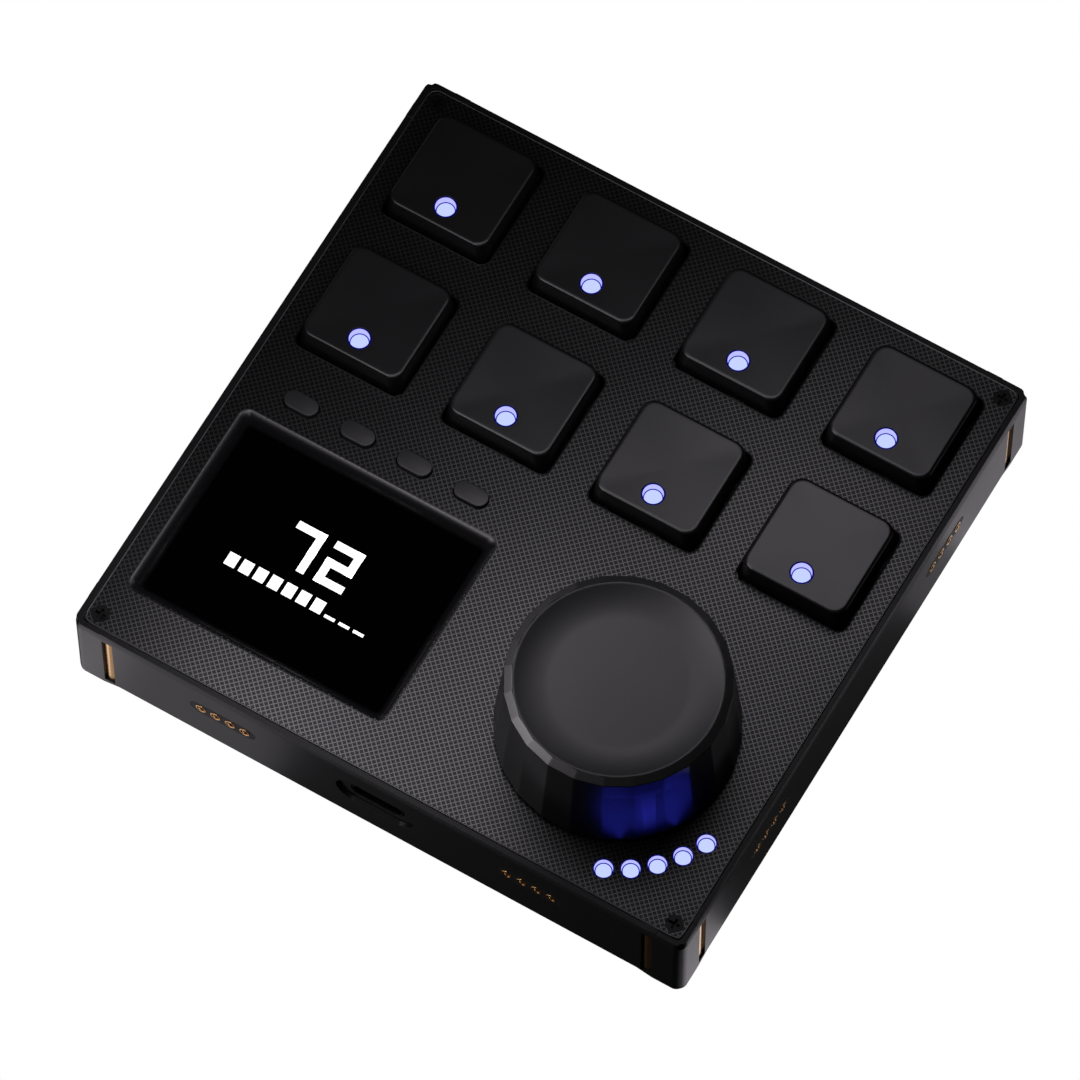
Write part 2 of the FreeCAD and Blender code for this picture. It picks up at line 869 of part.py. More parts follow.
def knob_skirt():
    """The faceted shell of the knob with its hub, and a bevelled band round its top."""
    bottom, shoulder, top = knob_levels()
    rings = [facet_ring(knob_base_diameter, bottom), facet_ring(knob_top_diameter, shoulder)]
    skirt = Part.makeLoft(rings, True, True)
    band_base = Part.Face(facet_ring(knob_top_diameter, shoulder)).extrude(Vector(0, 0, knob_band_height))
    cone = Part.makeCone(
        knob_top_diameter / 2, knob_cap_diameter / 2 + fit_play, knob_band_height,
        Vector(knob_x, knob_y, shoulder),
    )
    body = joined([skirt, band_base.common(cone)])
    seat = top - knob_cap_thickness
    web_bottom = seat - knob_web
    hollow = Part.makeCone(
        knob_base_diameter / 2 - knob_wall, knob_top_diameter / 2 - knob_wall, web_bottom - bottom,
        Vector(knob_x, knob_y, bottom),
    )
    below = rod(knob_x, knob_y, knob_base_diameter - 2 * knob_wall, bottom - overrun, bottom)
    recess = rod(knob_x, knob_y, knob_cap_diameter + 2 * fit_play, seat, top + overrun)
    body = body.cut([hollow, below, recess])
    hub = rod(knob_x, knob_y, knob_hub_diameter, hub_bottom(), web_bottom + knob_web / 2)
    return joined([body, hub]).cut(shaft_body(fit_play / 2, hub_bottom() - overrun, web_bottom + fit_play))


def knob_cap():
    """The dished disc in the top of the knob."""
    _, _, top = knob_levels()
    seat = top - knob_cap_thickness
    disc = rod(knob_x, knob_y, knob_cap_diameter, seat, top)
    edge = knob_cap_diameter / 2 - knob_dish_edge
    flat = knob_dish_flat_diameter / 2
    across = edge - flat
    sweep = (across ** 2 + knob_dish_depth ** 2) / (2 * knob_dish_depth)
    floor = top - knob_dish_depth
    half_turn = math.asin(across / sweep) / 2
    middle_x = knob_x + flat + sweep * math.sin(half_turn)
    middle_z = floor + sweep * (1 - math.cos(half_turn))
    points = [
        Vector(knob_x + flat, knob_y, floor),
        Vector(middle_x, knob_y, middle_z),
        Vector(knob_x + edge, knob_y, top),
    ]
    above = top + overrun
    edges = [
        Part.makeLine(Vector(knob_x, knob_y, floor), points[0]),
        Part.Arc(*points).toShape(),
        Part.makeLine(points[2], Vector(knob_x + edge, knob_y, above)),
        Part.makeLine(Vector(knob_x + edge, knob_y, above), Vector(knob_x, knob_y, above)),
        Part.makeLine(Vector(knob_x, knob_y, above), Vector(knob_x, knob_y, floor)),
    ]
    dish = Part.Face(Part.Wire(edges)).revolve(Vector(knob_x, knob_y, 0), UP, 360)
    return disc.cut(dish)


def shaft_body(play, z0, z1):
    """A stretch of the D-shaped shaft, grown all round by a play."""
    round_part = rod(knob_x, knob_y, shaft_diameter + 2 * play, z0, z1)
    flat_at = knob_x - shaft_diameter / 2 + shaft_flat + play
    beside = box(
        flat_at, knob_x + shaft_diameter, knob_y - shaft_diameter, knob_y + shaft_diameter,
        z1 - shaft_flat_length, z1 + overrun,
    )
    return round_part.cut(beside)


def collar_bottom():
    return board_top + encoder_floor + pusher_room + pusher_height + close_gap


def encoder_shaft():
    """The shaft from inside the encoder up to the knob's hub."""
    top = knob_levels()[2] - knob_cap_thickness - knob_web
    body = shaft_body(0, collar_bottom(), top)
    low = collar_bottom()
    collar = rod(knob_x, knob_y, shaft_collar_diameter, low, low + shaft_collar_height)
    return joined([body, collar])


def encoder_body():
    """The encoder's square body and round bushing, with the shaft's bore and the collar's cavity."""
    half = encoder_size / 2
    body = box(
        knob_x - half, knob_x + half, knob_y - half, knob_y + half, board_top, board_top + encoder_height
    )
    bushing_top = plate_top + bushing_above_plate
    bushing = rod(knob_x, knob_y, bushing_diameter, board_top + encoder_height, bushing_top)
    bore = rod(
        knob_x, knob_y, shaft_diameter + 2 * fit_play, board_top + encoder_floor, bushing_top + overrun
    )
    cavity = rod(
        knob_x, knob_y, shaft_collar_diameter + 2 * encoder_cavity_gap, board_top + encoder_floor,
        collar_bottom() + shaft_collar_height + rest_gap,
    )
    return joined([body, bushing]).cut([bore, cavity])


def encoder_pusher():
    """The small plunger that the shaft pushes when the knob is pressed."""
    bottom = board_top + encoder_floor + pusher_room
    return rod(knob_x, knob_y, pusher_diameter, bottom, bottom + pusher_height)


def lamp_pipes():
    """Five light pipes, each with a flange under the plate and a lens in its window."""
    pipes = []
    for x, y in arc_places:
        low = plate_bottom - pipe_flange_thickness
        lens = rod(x, y, arc_window - 2 * fit_play, low, plate_top - arc_sunk)
        flange = rod(x, y, pipe_flange, low, plate_bottom)
        pipe = rod(x, y, pipe_diameter, board_top + light_chip_height + pipe_end_gap, low)
        pipes.append(joined([lens, flange, pipe]))
    return group(pipes)


# Side contacts

def contact_rows(side):
    """Where each contact of a side stands, from its middle, row by row."""
    steps = [(n - (contact_count - 1) / 2) * contact_pitch for n in range(contact_count)]
    return [[middle + step for step in steps] for middle in contact_middles[side]]


def level_rod(y, diameter, x0, x1):
    """A round rod lying along X at the contacts' height, against the YZ plane."""
    return Part.makeCylinder(diameter / 2, x1 - x0, Vector(x0, y, contact_level), Vector(1, 0, 0))


def contact_block(row):
    """The insulating block of one row, with a bore for each contact."""
    middle = sum(row) / len(row)
    block = upright_stadium(
        contact_block_length, contact_block_height, -contact_block_depth, 0, contact_level, middle
    )
    bores = [level_rod(y, barrel_diameter, -contact_block_depth - overrun, overrun) for y in row]
    return block.cut(bores)


def contact_blocks():
    return group([on_side(contact_block(row), side) for side in sides for row in contact_rows(side)])


def contact_barrel(y):
    """The fixed barrel of a sprung contact, open at the face."""
    barrel = level_rod(y, barrel_diameter, -contact_block_depth - barrel_tail, barrel_proud)
    bore_end = -contact_block_depth - barrel_tail + barrel_floor
    bore = level_rod(y, plunger_diameter + 2 * fit_play, bore_end, barrel_proud + overrun)
    return barrel.cut(bore)


def contact_pad(y):
    """The fixed flat pad that the pins of a neighbour would meet."""
    return level_rod(y, barrel_diameter, -contact_block_depth - barrel_tail, 0)


def contact_metal():
    """All fixed metal contacts: barrels on two sides and flat pads on the other two."""
    shapes = []
    for side in pin_sides:
        shapes += [on_side(contact_barrel(y), side) for row in contact_rows(side) for y in row]
    for side in pad_sides:
        shapes += [on_side(contact_pad(y), side) for row in contact_rows(side) for y in row]
    return group(shapes)


def contact_plunger(y):
    """A sprung pin with a rounded tip."""
    radius = plunger_diameter / 2
    tip = plunger_proud - radius
    pin = level_rod(y, plunger_diameter, plunger_proud - plunger_length, tip)
    end = Part.makeSphere(radius, Vector(tip, y, contact_level))
    return joined([pin, end])


def contact_plungers(side):
    return group([on_side(contact_plunger(y), side) for row in contact_rows(side) for y in row])


# Magnets, port and strip

def magnet_rods():
    """Eight upright rods, two beside each corner."""
    bottom = case_bottom + magnet_bottom
    top = plate_bottom - magnet_top_gap
    axis = -magnet_behind_face - magnet_diameter / 2
    rods = []
    for side in sides:
        rods += [on_side(rod(axis, y, magnet_diameter, bottom, top), side) for y in magnet_offsets(side)]
    return group(rods)


def port_shell():
    """The port's metal shell, on the board and flush with the floor of its recess."""
    mouth = -port_recess_depth
    outer = upright_stadium(port_width, port_height, mouth - port_length, mouth, port_level)
    width, height = port_width - 2 * port_metal, port_height - 2 * port_metal
    inner = upright_stadium(width, height, mouth - port_length - overrun, mouth + overrun, port_level)
    return on_side(outer.cut(inner), "front")


def port_tongue():
    """The port's insulator: a block at the back and the tongue that carries the contacts."""
    mouth = -port_recess_depth
    back = mouth - port_length
    width = port_width - 2 * port_metal - 2 * close_gap
    height = port_height - 2 * port_metal - 2 * close_gap
    block = upright_stadium(width, height, back, back + port_back, port_level)
    half = tongue_thickness / 2
    tongue = box(
        back, mouth - tongue_from_mouth, -tongue_width / 2, tongue_width / 2,
        port_level - half, port_level + half,
    )
    return on_side(joined([block, tongue]), "front")


def side_strip():
    """The low strip let into the left side."""
    return on_side(strip_block(0), "left")


def build():
    """Every node of the object by name."""
    nodes = {
        "side_frame": side_frame(),
        "bottom_cover": bottom_cover(),
        "rubber_feet": rubber_feet(),
        "case_screws": case_screws(),
        "top_plate": top_plate(),
        "side_strip": side_strip(),
        "main_board": main_board(),
        "switch_housings": switch_housings(),
        "tact_switches": tact_switches(),
        "display_glass": display_glass(),
        "display_panel": display_panel(),
        "knob_skirt": knob_skirt(),
        "knob_cap": knob_cap(),
        "encoder_shaft": encoder_shaft(),
        "encoder_body": encoder_body(),
        "encoder_pusher": encoder_pusher(),
        "lamp_pipes": lamp_pipes(),
        "contact_blocks": contact_blocks(),
        "contact_metal": contact_metal(),
        "front_contact_pins": contact_plungers("front"),
        "right_contact_pins": contact_plungers("right"),
        "magnet_rods": magnet_rods(),
        "port_shell": port_shell(),
        "port_tongue": port_tongue(),
    }
    for number, (x, y) in enumerate(key_places, 1):
        nodes["keycap_%d" % number] = keycap(x, y)
        nodes["key_stem_%d" % number] = key_stem(x, y)
        nodes["key_spring_%d" % number] = key_spring(x, y)
        nodes["key_lens_%d" % number] = key_lens(x, y)
    for number, (x, y) in enumerate(pill_places, 1):
        nodes["pill_button_%d" % number] = pill_button(x, y)
    return nodes


os.makedirs("parts", exist_ok=True)
for name, shape in build().items():
    if not shape.isValid():
        print("not valid:", name)
    print("%-20s %3d solids %10.2f mm3" % (name, len(shape.Solids), shape.Volume))
    shape.exportStep("parts/%s.step" % name)
print("plate top %.2f, key tops %.2f, knob top %.2f" % (plate_top, cap_top_level, knob_levels()[2]))
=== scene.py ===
import math

import bmesh
import bpy
from mathutils import Matrix, Quaternion, Vector


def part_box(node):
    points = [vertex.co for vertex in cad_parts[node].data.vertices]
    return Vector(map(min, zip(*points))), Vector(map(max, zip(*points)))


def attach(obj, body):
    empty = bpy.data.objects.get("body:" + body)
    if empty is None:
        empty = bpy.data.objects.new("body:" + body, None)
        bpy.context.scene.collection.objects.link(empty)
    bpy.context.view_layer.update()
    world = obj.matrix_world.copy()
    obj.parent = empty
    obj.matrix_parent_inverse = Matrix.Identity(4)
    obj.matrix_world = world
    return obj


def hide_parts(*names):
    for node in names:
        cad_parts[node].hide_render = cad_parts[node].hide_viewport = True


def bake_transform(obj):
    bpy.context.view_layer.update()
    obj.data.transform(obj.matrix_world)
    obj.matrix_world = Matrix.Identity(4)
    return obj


# %% [markdown]
# # A macro keypad with a knob
# The object is a square desktop keypad: a moulded case with a finely ribbed top plate, eight low keys, four pill
# buttons, a small screen, and a push knob with an arc of lamps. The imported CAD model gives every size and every
# moving body. This notebook dresses it: each visible piece is rebuilt with the soft edges and finishes of the real
# one, and rides the CAD body that it belongs to.

# %% Load the frame
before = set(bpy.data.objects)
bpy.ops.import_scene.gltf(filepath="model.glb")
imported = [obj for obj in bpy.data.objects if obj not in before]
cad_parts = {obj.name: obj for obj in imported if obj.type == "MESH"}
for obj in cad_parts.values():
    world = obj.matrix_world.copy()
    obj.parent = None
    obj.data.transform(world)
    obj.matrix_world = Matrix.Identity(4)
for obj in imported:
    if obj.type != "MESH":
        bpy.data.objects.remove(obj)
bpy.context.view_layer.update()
MM = 0.001

# %% [markdown]
# ## Measures
# Sizes come from the frame wherever it has them, so the looks follow the CAD when it changes. Everything in this
# notebook is in millimetres until a mesh is made.


# %% Boxes of the CAD nodes
def span(node):
    """The lowest and highest corner of a CAD node, in millimetres."""
    low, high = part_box(node)
    return low / MM, high / MM


def middle(node):
    low, high = span(node)
    return (low + high) / 2


plate_low, plate_high = span("top_plate")
knob_low, knob_high = span("knob_skirt")
cap_low, cap_high = span("keycap_1")
glass_top = span("display_glass")[1].z
half = span("side_frame")[1].x
plate_top = plate_high.z
plate_bottom = plate_low.z
knob_centre = middle("encoder_shaft")
key_nodes = ["keycap_%d" % n for n in range(1, 9)]
pill_nodes = ["pill_button_%d" % n for n in range(1, 5)]
key_centres = [middle(node) for node in key_nodes]
print("case %.1f wide, plate top at %.1f, knob top at %.1f" % (2 * half, plate_top, knob_high.z))

# %% [markdown]
# ## Tools for shapes
# Moulded parts have no sharp edges, and a sharp edge catches no light in a picture. Two ways of making pieces give
# the soft ones. A loft strings a skin over rounded rectangles or circles of equal point counts. A refined piece is
# a copy of the CAD skin, with its flat faces made whole again and every crisp edge bevelled by a hair.


# %% Lofts
def rounded_ring(width, depth, radius, z, x=0.0, y=0.0, steps=8):
    """Points round a rounded rectangle, counter-clockwise from the +X side."""
    points = []
    for quarter, (sx, sy) in enumerate(((1, 1), (-1, 1), (-1, -1), (1, -1))):
        cx, cy = x + sx * (width / 2 - radius), y + sy * (depth / 2 - radius)
        for step in range(steps + 1):
            angle = math.radians(90 * (quarter + step / steps))
            points.append((cx + radius * math.cos(angle), cy + radius * math.sin(angle), z))
    return points


def round_ring(radius, z, x=0.0, y=0.0, steps=48):
    """Points round a circle."""
    turns = [2 * math.pi * step / steps for step in range(steps)]
    return [(x + radius * math.cos(turn), y + radius * math.sin(turn), z) for turn in turns]


def loft(rings, closed=False, caps=(True, True)):
    """A mesh as points and faces over rings of equal length. A closed loft joins its last ring to its first."""
    count = len(rings[0])
    points = [point for ring in rings for point in ring]
    faces = []
    spans = len(rings) if closed else len(rings) - 1
    for level in range(spans):
        a, b = level * count, (level + 1) % len(rings) * count
        for n in range(count):
            m = (n + 1) % count
            faces.append((a + n, a + m, b + m, b + n))
    if not closed and caps[0]:
        faces.append(tuple(reversed(range(count))))
    if not closed and caps[1]:
        faces.append(tuple(range((len(rings) - 1) * count, len(rings) * count)))
    return points, faces


def quarter_round(inset, low, size, steps=4):
    """Steps of a rounded edge, as (inset, height) pairs going up to a flat top."""
    turns = [math.pi / 2 * step / steps for step in range(steps + 1)]
    return [(inset + size * (1 - math.cos(turn)), low + size * math.sin(turn)) for turn in turns]


def merged(*shapes):
    """Several (points, faces) as one."""
    points, faces = [], []
    for more_points, more_faces in shapes:
        base = len(points)
        points += more_points
        faces += [tuple(base + index for index in face) for face in more_faces]
    return points, faces


# %% Objects
def new_object(name, data):
    """An object in the scene, at the origin."""
    obj = bpy.data.objects.new(name, data)
    bpy.context.scene.collection.objects.link(obj)
    return obj


def new_mesh(name, points, edges=(), faces=()):
    """A mesh in metres from points in millimetres."""
    mesh = bpy.data.meshes.new(name)
    mesh.from_pydata([(x * MM, y * MM, z * MM) for x, y, z in points], edges, faces)
    return mesh


def add_object(name, shape, smooth_deg=35.0):
    """An object from a shape in millimetres, smooth but for edges steeper than the given angle."""
    mesh = new_mesh(name, shape[0], faces=shape[1])
    mesh.validate()
    mesh.update()
    soften(mesh, smooth_deg)
    return new_object(name, mesh)


def soften(mesh, smooth_deg):
    """Smooth shading, with creases kept where two faces meet steeply."""
    shape = bmesh.new()
    shape.from_mesh(mesh)
    bmesh.ops.recalc_face_normals(shape, faces=shape.faces)
    limit = math.radians(smooth_deg)
    for face in shape.faces:
        face.smooth = True
    for edge in shape.edges:
        edge.smooth = edge.is_manifold and edge.calc_face_angle(0.0) < limit
    shape.to_mesh(mesh)
    shape.free()


def flatten_shading(obj):
    """Weights the normals by face area, so that a bevel doesn't shade the flat beside it."""
    even = obj.modifiers.new("even", "WEIGHTED_NORMAL")
    even.mode = "FACE_AREA"
    even.weight = 50
    even.keep_sharp = True
    return settle(obj)


def settle(obj):
    """Turns an object's modifiers into a plain mesh."""
    bpy.context.view_layer.update()
    graph = bpy.context.evaluated_depsgraph_get()
    final = obj.evaluated_get(graph)
    mesh = bpy.data.meshes.new_from_object(final, preserve_all_data_layers=True, depsgraph=graph)
    obj.modifiers.clear()
    obj.data = mesh
    mesh.name = obj.name
    return obj


def bevel(obj, width, segments=2, angle_deg=30.0):
    """Rounds every edge steeper than the given angle."""
    edge = obj.modifiers.new("bevel", "BEVEL")
    edge.width = width * MM
    edge.segments = segments
    edge.limit_method = "ANGLE"
    edge.angle_limit = math.radians(angle_deg)
    edge.miter_outer = "MITER_ARC"
    edge.use_clamp_overlap = True
    settle(obj)
    soften(obj.data, crease_deg)
    return flatten_shading(obj)


skin_ease, skin_depth = 0.22, 0.5
rim_ease, rim_level = 0.2, 17.0
same_place, flat_deg = 0.002, 0.8
crease_deg, turned_crease_deg, slope_crease_deg = 60.0, 40.0, 30.0
frame_bevel, moulded_bevel, rubber_bevel, insert_bevel, fine_bevel, tongue_bevel = 0.08, 0.12, 0.2, 0.06, 0.05, 0.04


def ease_out(mesh):
    """Moves the case's skin out by a hair on three sides, and its rim on the back and left."""
    for vertex in mesh.vertices:
        x, y, z = vertex.co / MM
        rim = rim_ease if z > rim_level else 0.0
        if x < skin_depth - half:
            vertex.co.x -= (skin_ease + rim) * MM
        if x > half - skin_depth:
            vertex.co.x += skin_ease * MM
        if y < skin_depth - half:
            vertex.co.y -= skin_ease * MM
        if y > half - skin_depth:
            vertex.co.y += rim * MM


def refined(node, name, width, segments=2, ease=False):
    """A copy of a CAD node's skin with whole flat faces and soft edges. It stands for the node."""
    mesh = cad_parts[node].data.copy()
    mesh.name = name
    mesh.materials.clear()
    shape = bmesh.new()
    shape.from_mesh(mesh)
    bmesh.ops.remove_doubles(shape, verts=shape.verts, dist=same_place * MM)
    bmesh.ops.dissolve_limit(shape, angle_limit=math.radians(flat_deg), verts=shape.verts, edges=shape.edges)
    bmesh.ops.recalc_face_normals(shape, faces=shape.faces)
    shape.to_mesh(mesh)
    shape.free()
    if ease:
        ease_out(mesh)
    return bevel(new_object(name, mesh), width, segments)


def seat(obj, body, slot, material, *nodes):
    """Gives a piece its body and finish, and hides the CAD nodes that it stands for. The slot is not used."""
    obj.data.materials.clear()
    obj.data.materials.append(material)
    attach(obj, body)
    if nodes:
        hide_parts(*nodes)
    print("%-22s %6d faces on %s" % (obj.name, len(obj.data.polygons), body))
    return obj


# %% [markdown]
# ## Finishes
# Nearly all of it is black moulded plastic, and what tells the pieces apart is how rough and how glossy each one
# is. A fine grain in the bump and a slow change in roughness keep the flats from looking like glass; the plate has
# its relief instead. Texture lies in object coordinates, so it moves with its piece. The lamps and the screen shine.


# %% Material builder
drift_scale, drift_detail, grain_detail = 60.0, 3.0, 2.0


def material(
        name, colour, roughness, grain=0.0, grain_size=0.05, drift=0.0, metallic=0.0, gloss=0.5, ior=1.5, glow=None):
    """A plain surface: colour, roughness with a slow drift, and a fine grain in the bump."""
    made = bpy.data.materials.new(name)
    made.use_nodes = True
    made.diffuse_color = (*colour, 1.0)
    nodes, links = made.node_tree.nodes, made.node_tree.links
    shader = nodes["Principled BSDF"]
    shader.inputs["Base Color"].default_value = (*colour, 1.0)
    shader.inputs["Roughness"].default_value = roughness
    shader.inputs["Metallic"].default_value = metallic
    shader.inputs["Specular IOR Level"].default_value = gloss
    shader.inputs["IOR"].default_value = ior
    if glow:
        shader.inputs["Emission Color"].default_value = (*glow[:3], 1.0)
        shader.inputs["Emission Strength"].default_value = glow[3]
    if not grain and not drift:
        return made
    place = nodes.new("ShaderNodeTexCoord")
    if drift:
        slow = nodes.new("ShaderNodeTexNoise")
        slow.inputs["Scale"].default_value = drift_scale
        slow.inputs["Detail"].default_value = drift_detail
        spread = nodes.new("ShaderNodeMapRange")
        spread.inputs["To Min"].default_value = roughness - drift
        spread.inputs["To Max"].default_value = roughness + drift
        links.new(place.outputs["Object"], slow.inputs["Vector"])
        links.new(slow.outputs["Fac"], spread.inputs["Value"])
        links.new(spread.outputs["Result"], shader.inputs["Roughness"])
    if grain:
        fine = nodes.new("ShaderNodeTexNoise")
        fine.inputs["Scale"].default_value = 1.0 / (grain_size * MM)
        fine.inputs["Detail"].default_value = grain_detail
        bump = nodes.new("ShaderNodeBump")
        bump.inputs["Strength"].default_value = 1.0
        bump.inputs["Distance"].default_value = grain * MM
        links.new(place.outputs["Object"], fine.inputs["Vector"])
        links.new(fine.outputs["Fac"], bump.inputs["Height"])
        links.new(bump.outputs["Normal"], shader.inputs["Normal"])
    return made


# %% The finishes
case_black = material("case_black", (0.010, 0.0098, 0.0104), 0.42, grain=0.004, grain_size=0.12, drift=0.03)
plate_black = material("plate_black", (0.002, 0.002, 0.0021), 0.34, gloss=0.2)
ridge_black = material("ridge_black", (0.004, 0.0039, 0.0042), 0.33, ior=1.7)
# A darker, less glossy copy of the case finish for the rim's flat top: painted shade.
rim_black = material("rim_black", (0.006, 0.0058, 0.0064), 0.40, gloss=0.16)
band_black = material("band_black", (0.006, 0.0059, 0.0063), 0.36, ior=2.0)
bezel_black = material("bezel_black", (0.006, 0.0058, 0.0064), 0.26)
# A darker, less glossy copy of the cap finish for the caps' side walls: painted shade.
wall_black = material("wall_black", (0.003, 0.003, 0.0032), 0.40, gloss=0.25)
cap_black = material("cap_black", (0.005, 0.0049, 0.0052), 0.33, grain=0.002, grain_size=0.08, drift=0.02)
pill_black = material("pill_black", (0.010, 0.0098, 0.0104), 0.42, grain=0.002, grain_size=0.08)
knob_black = material("knob_black", (0.006, 0.0059, 0.0063), 0.32, grain=0.001, grain_size=0.08, drift=0.02)
dish_black = material("dish_black", (0.008, 0.0078, 0.0084), 0.42, grain=0.002, grain_size=0.08, drift=0.02)
glass_black = material("glass_black", (0.0006, 0.0006, 0.0006), 0.3, gloss=0.0)
deep_black = material("deep_black", (0.005, 0.005, 0.0053), 0.6)
rubber_black = material("rubber_black", (0.006, 0.006, 0.006), 0.7, gloss=0.2, grain=0.01, grain_size=0.3)
screw_black = material("screw_black", (0.003, 0.003, 0.0032), 0.4, gloss=0.15)
gold = material("gold", (0.78, 0.47, 0.19), 0.25, metallic=1.0, drift=0.05)
steel = material("steel", (0.30, 0.30, 0.31), 0.3, metallic=1.0)
board_green = material("board_green", (0.010, 0.035, 0.022), 0.35)
screen_white = material("screen_white", (0.8, 0.8, 0.8), 0.5, gloss=0.0, glow=(1.0, 1.0, 1.0, 1.0))
# The line finish is a dark blue glow painted as shade in the crease at the foot of the cup's wall; the edge finish
# is a dim blue glow painted as shade at the rim.
lamp_core, lamp_wall, lamp_shade_line, lamp_shade_edge = [
    material("lamp_" + part, (0.0, 0.0, 0.0), 0.5, gloss=0.0, glow=shine)
    for part, shine in (
        ("core", (0.41, 0.47, 0.92, 1.4)), ("wall", (0.37, 0.38, 0.90, 1.4)),
        ("line", (0.008, 0.012, 0.30, 1.0)), ("edge", (0.002, 0.002, 0.14, 1.0)))
]
print("materials:", len(bpy.data.materials))

# %% [markdown]
# ## Case, cover and feet
# The case frame is one moulding: four walls with thick corners. The CAD skin already has its slots, port recess and
# contact holes, so it is refined rather than redrawn. The bevel is what makes the rim read as a soft edge. The rim's
# flat top gets a darker, less glossy copy of the wall finish, which paints shade on it. The feet are pressed rubber.


# %% Frame, cover and strip
def paint(obj, finish, chosen):
    """Gives the chosen faces a second finish; chosen takes a face's middle in millimetres and its normal."""
    obj.data.materials.append(finish)
    place = len(obj.data.materials) - 1
    picked = [face for face in obj.data.polygons if chosen(face.center / MM, face.normal)]
    for face in picked:
        face.material_index = place
    print(obj.name, "painted", len(picked), finish.name)


rim_normal = 0.97
case_frame = refined("side_frame", "case_frame", frame_bevel, ease=True)
seat(case_frame, "case", "case", case_black, "side_frame")
# The rim's upward faces get the darker copy: painted shade on the top.
paint(case_frame, rim_black, lambda place, normal: normal.z > rim_normal and place.z > plate_bottom)
cover = refined("bottom_cover", "cover", moulded_bevel, ease=True)
seat(cover, "case", "cover", case_black, "bottom_cover")
strip = refined("side_strip", "strip", rubber_bevel)
seat(strip, "case", "strip", rubber_black, "side_strip")

# %% Feet
feet_low, feet_high = span("rubber_feet")
foot_radius, foot_round, foot_steps = 4.5, 0.4, 40


def foot(x, y):
    """A rubber foot with a rounded lower edge, which shows below its seat in the cover."""
    edge = [(inset, feet_low.z + foot_round - rise) for inset, rise in quarter_round(0.0, 0.0, foot_round)]
    levels = edge[::-1] + [(0.0, feet_high.z)]
    return loft([round_ring(foot_radius - inset, z, x, y, foot_steps) for inset, z in levels])


foot_x, foot_y = feet_high.x - foot_radius, feet_high.y - foot_radius
foot_places = [(sx * foot_x, sy * foot_y) for sx in (-1, 1) for sy in (-1, 1)]
feet = add_object("feet", merged(*[foot(x, y) for x, y in foot_places]))
seat(feet, "case", "rubber", rubber_black, "rubber_feet")

# %% [markdown]
# ## Top plate
# The plate is a thin moulding with a crossed pattern of raised lines at 45 degrees. The pattern is real relief: it
# is what gives the plate its grey sheen, because the top of each line is polished and catches the light, and the
# cells between stay dull and dark. Lines are laid corner to corner by Geometry Nodes and kept only where a ray
# straight down meets the plate, so they stop by themselves at every opening. One family of lines lies a hair higher
# than the other, so that no two faces share a place where they cross.

# %% Plate body
plate = refined("top_plate", "plate", moulded_bevel)
seat(plate, "case", "plate", plate_black, "top_plate")


# %% A small kit for node trees
def new_tree(name, inputs):
    """A geometry node tree with a geometry in and out, and named inputs given as (name, type, default)."""
    tree = bpy.data.node_groups.new(name, "GeometryNodeTree")
    tree.interface.new_socket("Geometry", in_out="INPUT", socket_type="NodeSocketGeometry")
    for label, kind, default in inputs:
        socket = tree.interface.new_socket(label, in_out="INPUT", socket_type=kind)
        if default is not None:
            socket.default_value = default
    tree.interface.new_socket("Geometry", in_out="OUTPUT", socket_type="NodeSocketGeometry")
    return tree, tree.nodes.new("NodeGroupInput"), tree.nodes.new("NodeGroupOutput")


def add_node(tree, kind, values=None, **settings):
    """A node with its settings, and its inputs by name: a value, or an output socket to link."""
    node = tree.nodes.new(kind)
    for key, value in settings.items():
        setattr(node, key, value)
    for key, value in (values or {}).items():
        target = node.inputs[key]
        if isinstance(value, bpy.types.NodeSocket):
            tree.links.new(value, target)
        else:
            target.default_value = value
    return node


def close_tree(tree, start, end, geometry):
    """Ends a tree: instances made real, then the finish set."""
    plain = add_node(tree, "GeometryNodeRealizeInstances", {"Geometry": geometry})
    done = add_node(tree, "GeometryNodeSetMaterial", {
        "Geometry": plain.outputs["Geometry"], "Material": start.outputs["Finish"]})
    tree.links.new(done.outputs["Geometry"], end.inputs["Geometry"])
    return tree


def run_tree(obj, tree, values):
    """Puts a tree on an object with its inputs set by identifier, and turns the result into a plain mesh."""
    step = obj.modifiers.new(tree.name, "NODES")
    step.node_group = tree
    for item in tree.interface.items_tree:
        if item.in_out == "INPUT" and item.name in values:
            step[item.identifier] = values[item.name]
    return settle(obj)


# %% The ridge tree
ray_above, ray_length, ridge_top_share = 0.1, 0.15, 0.85


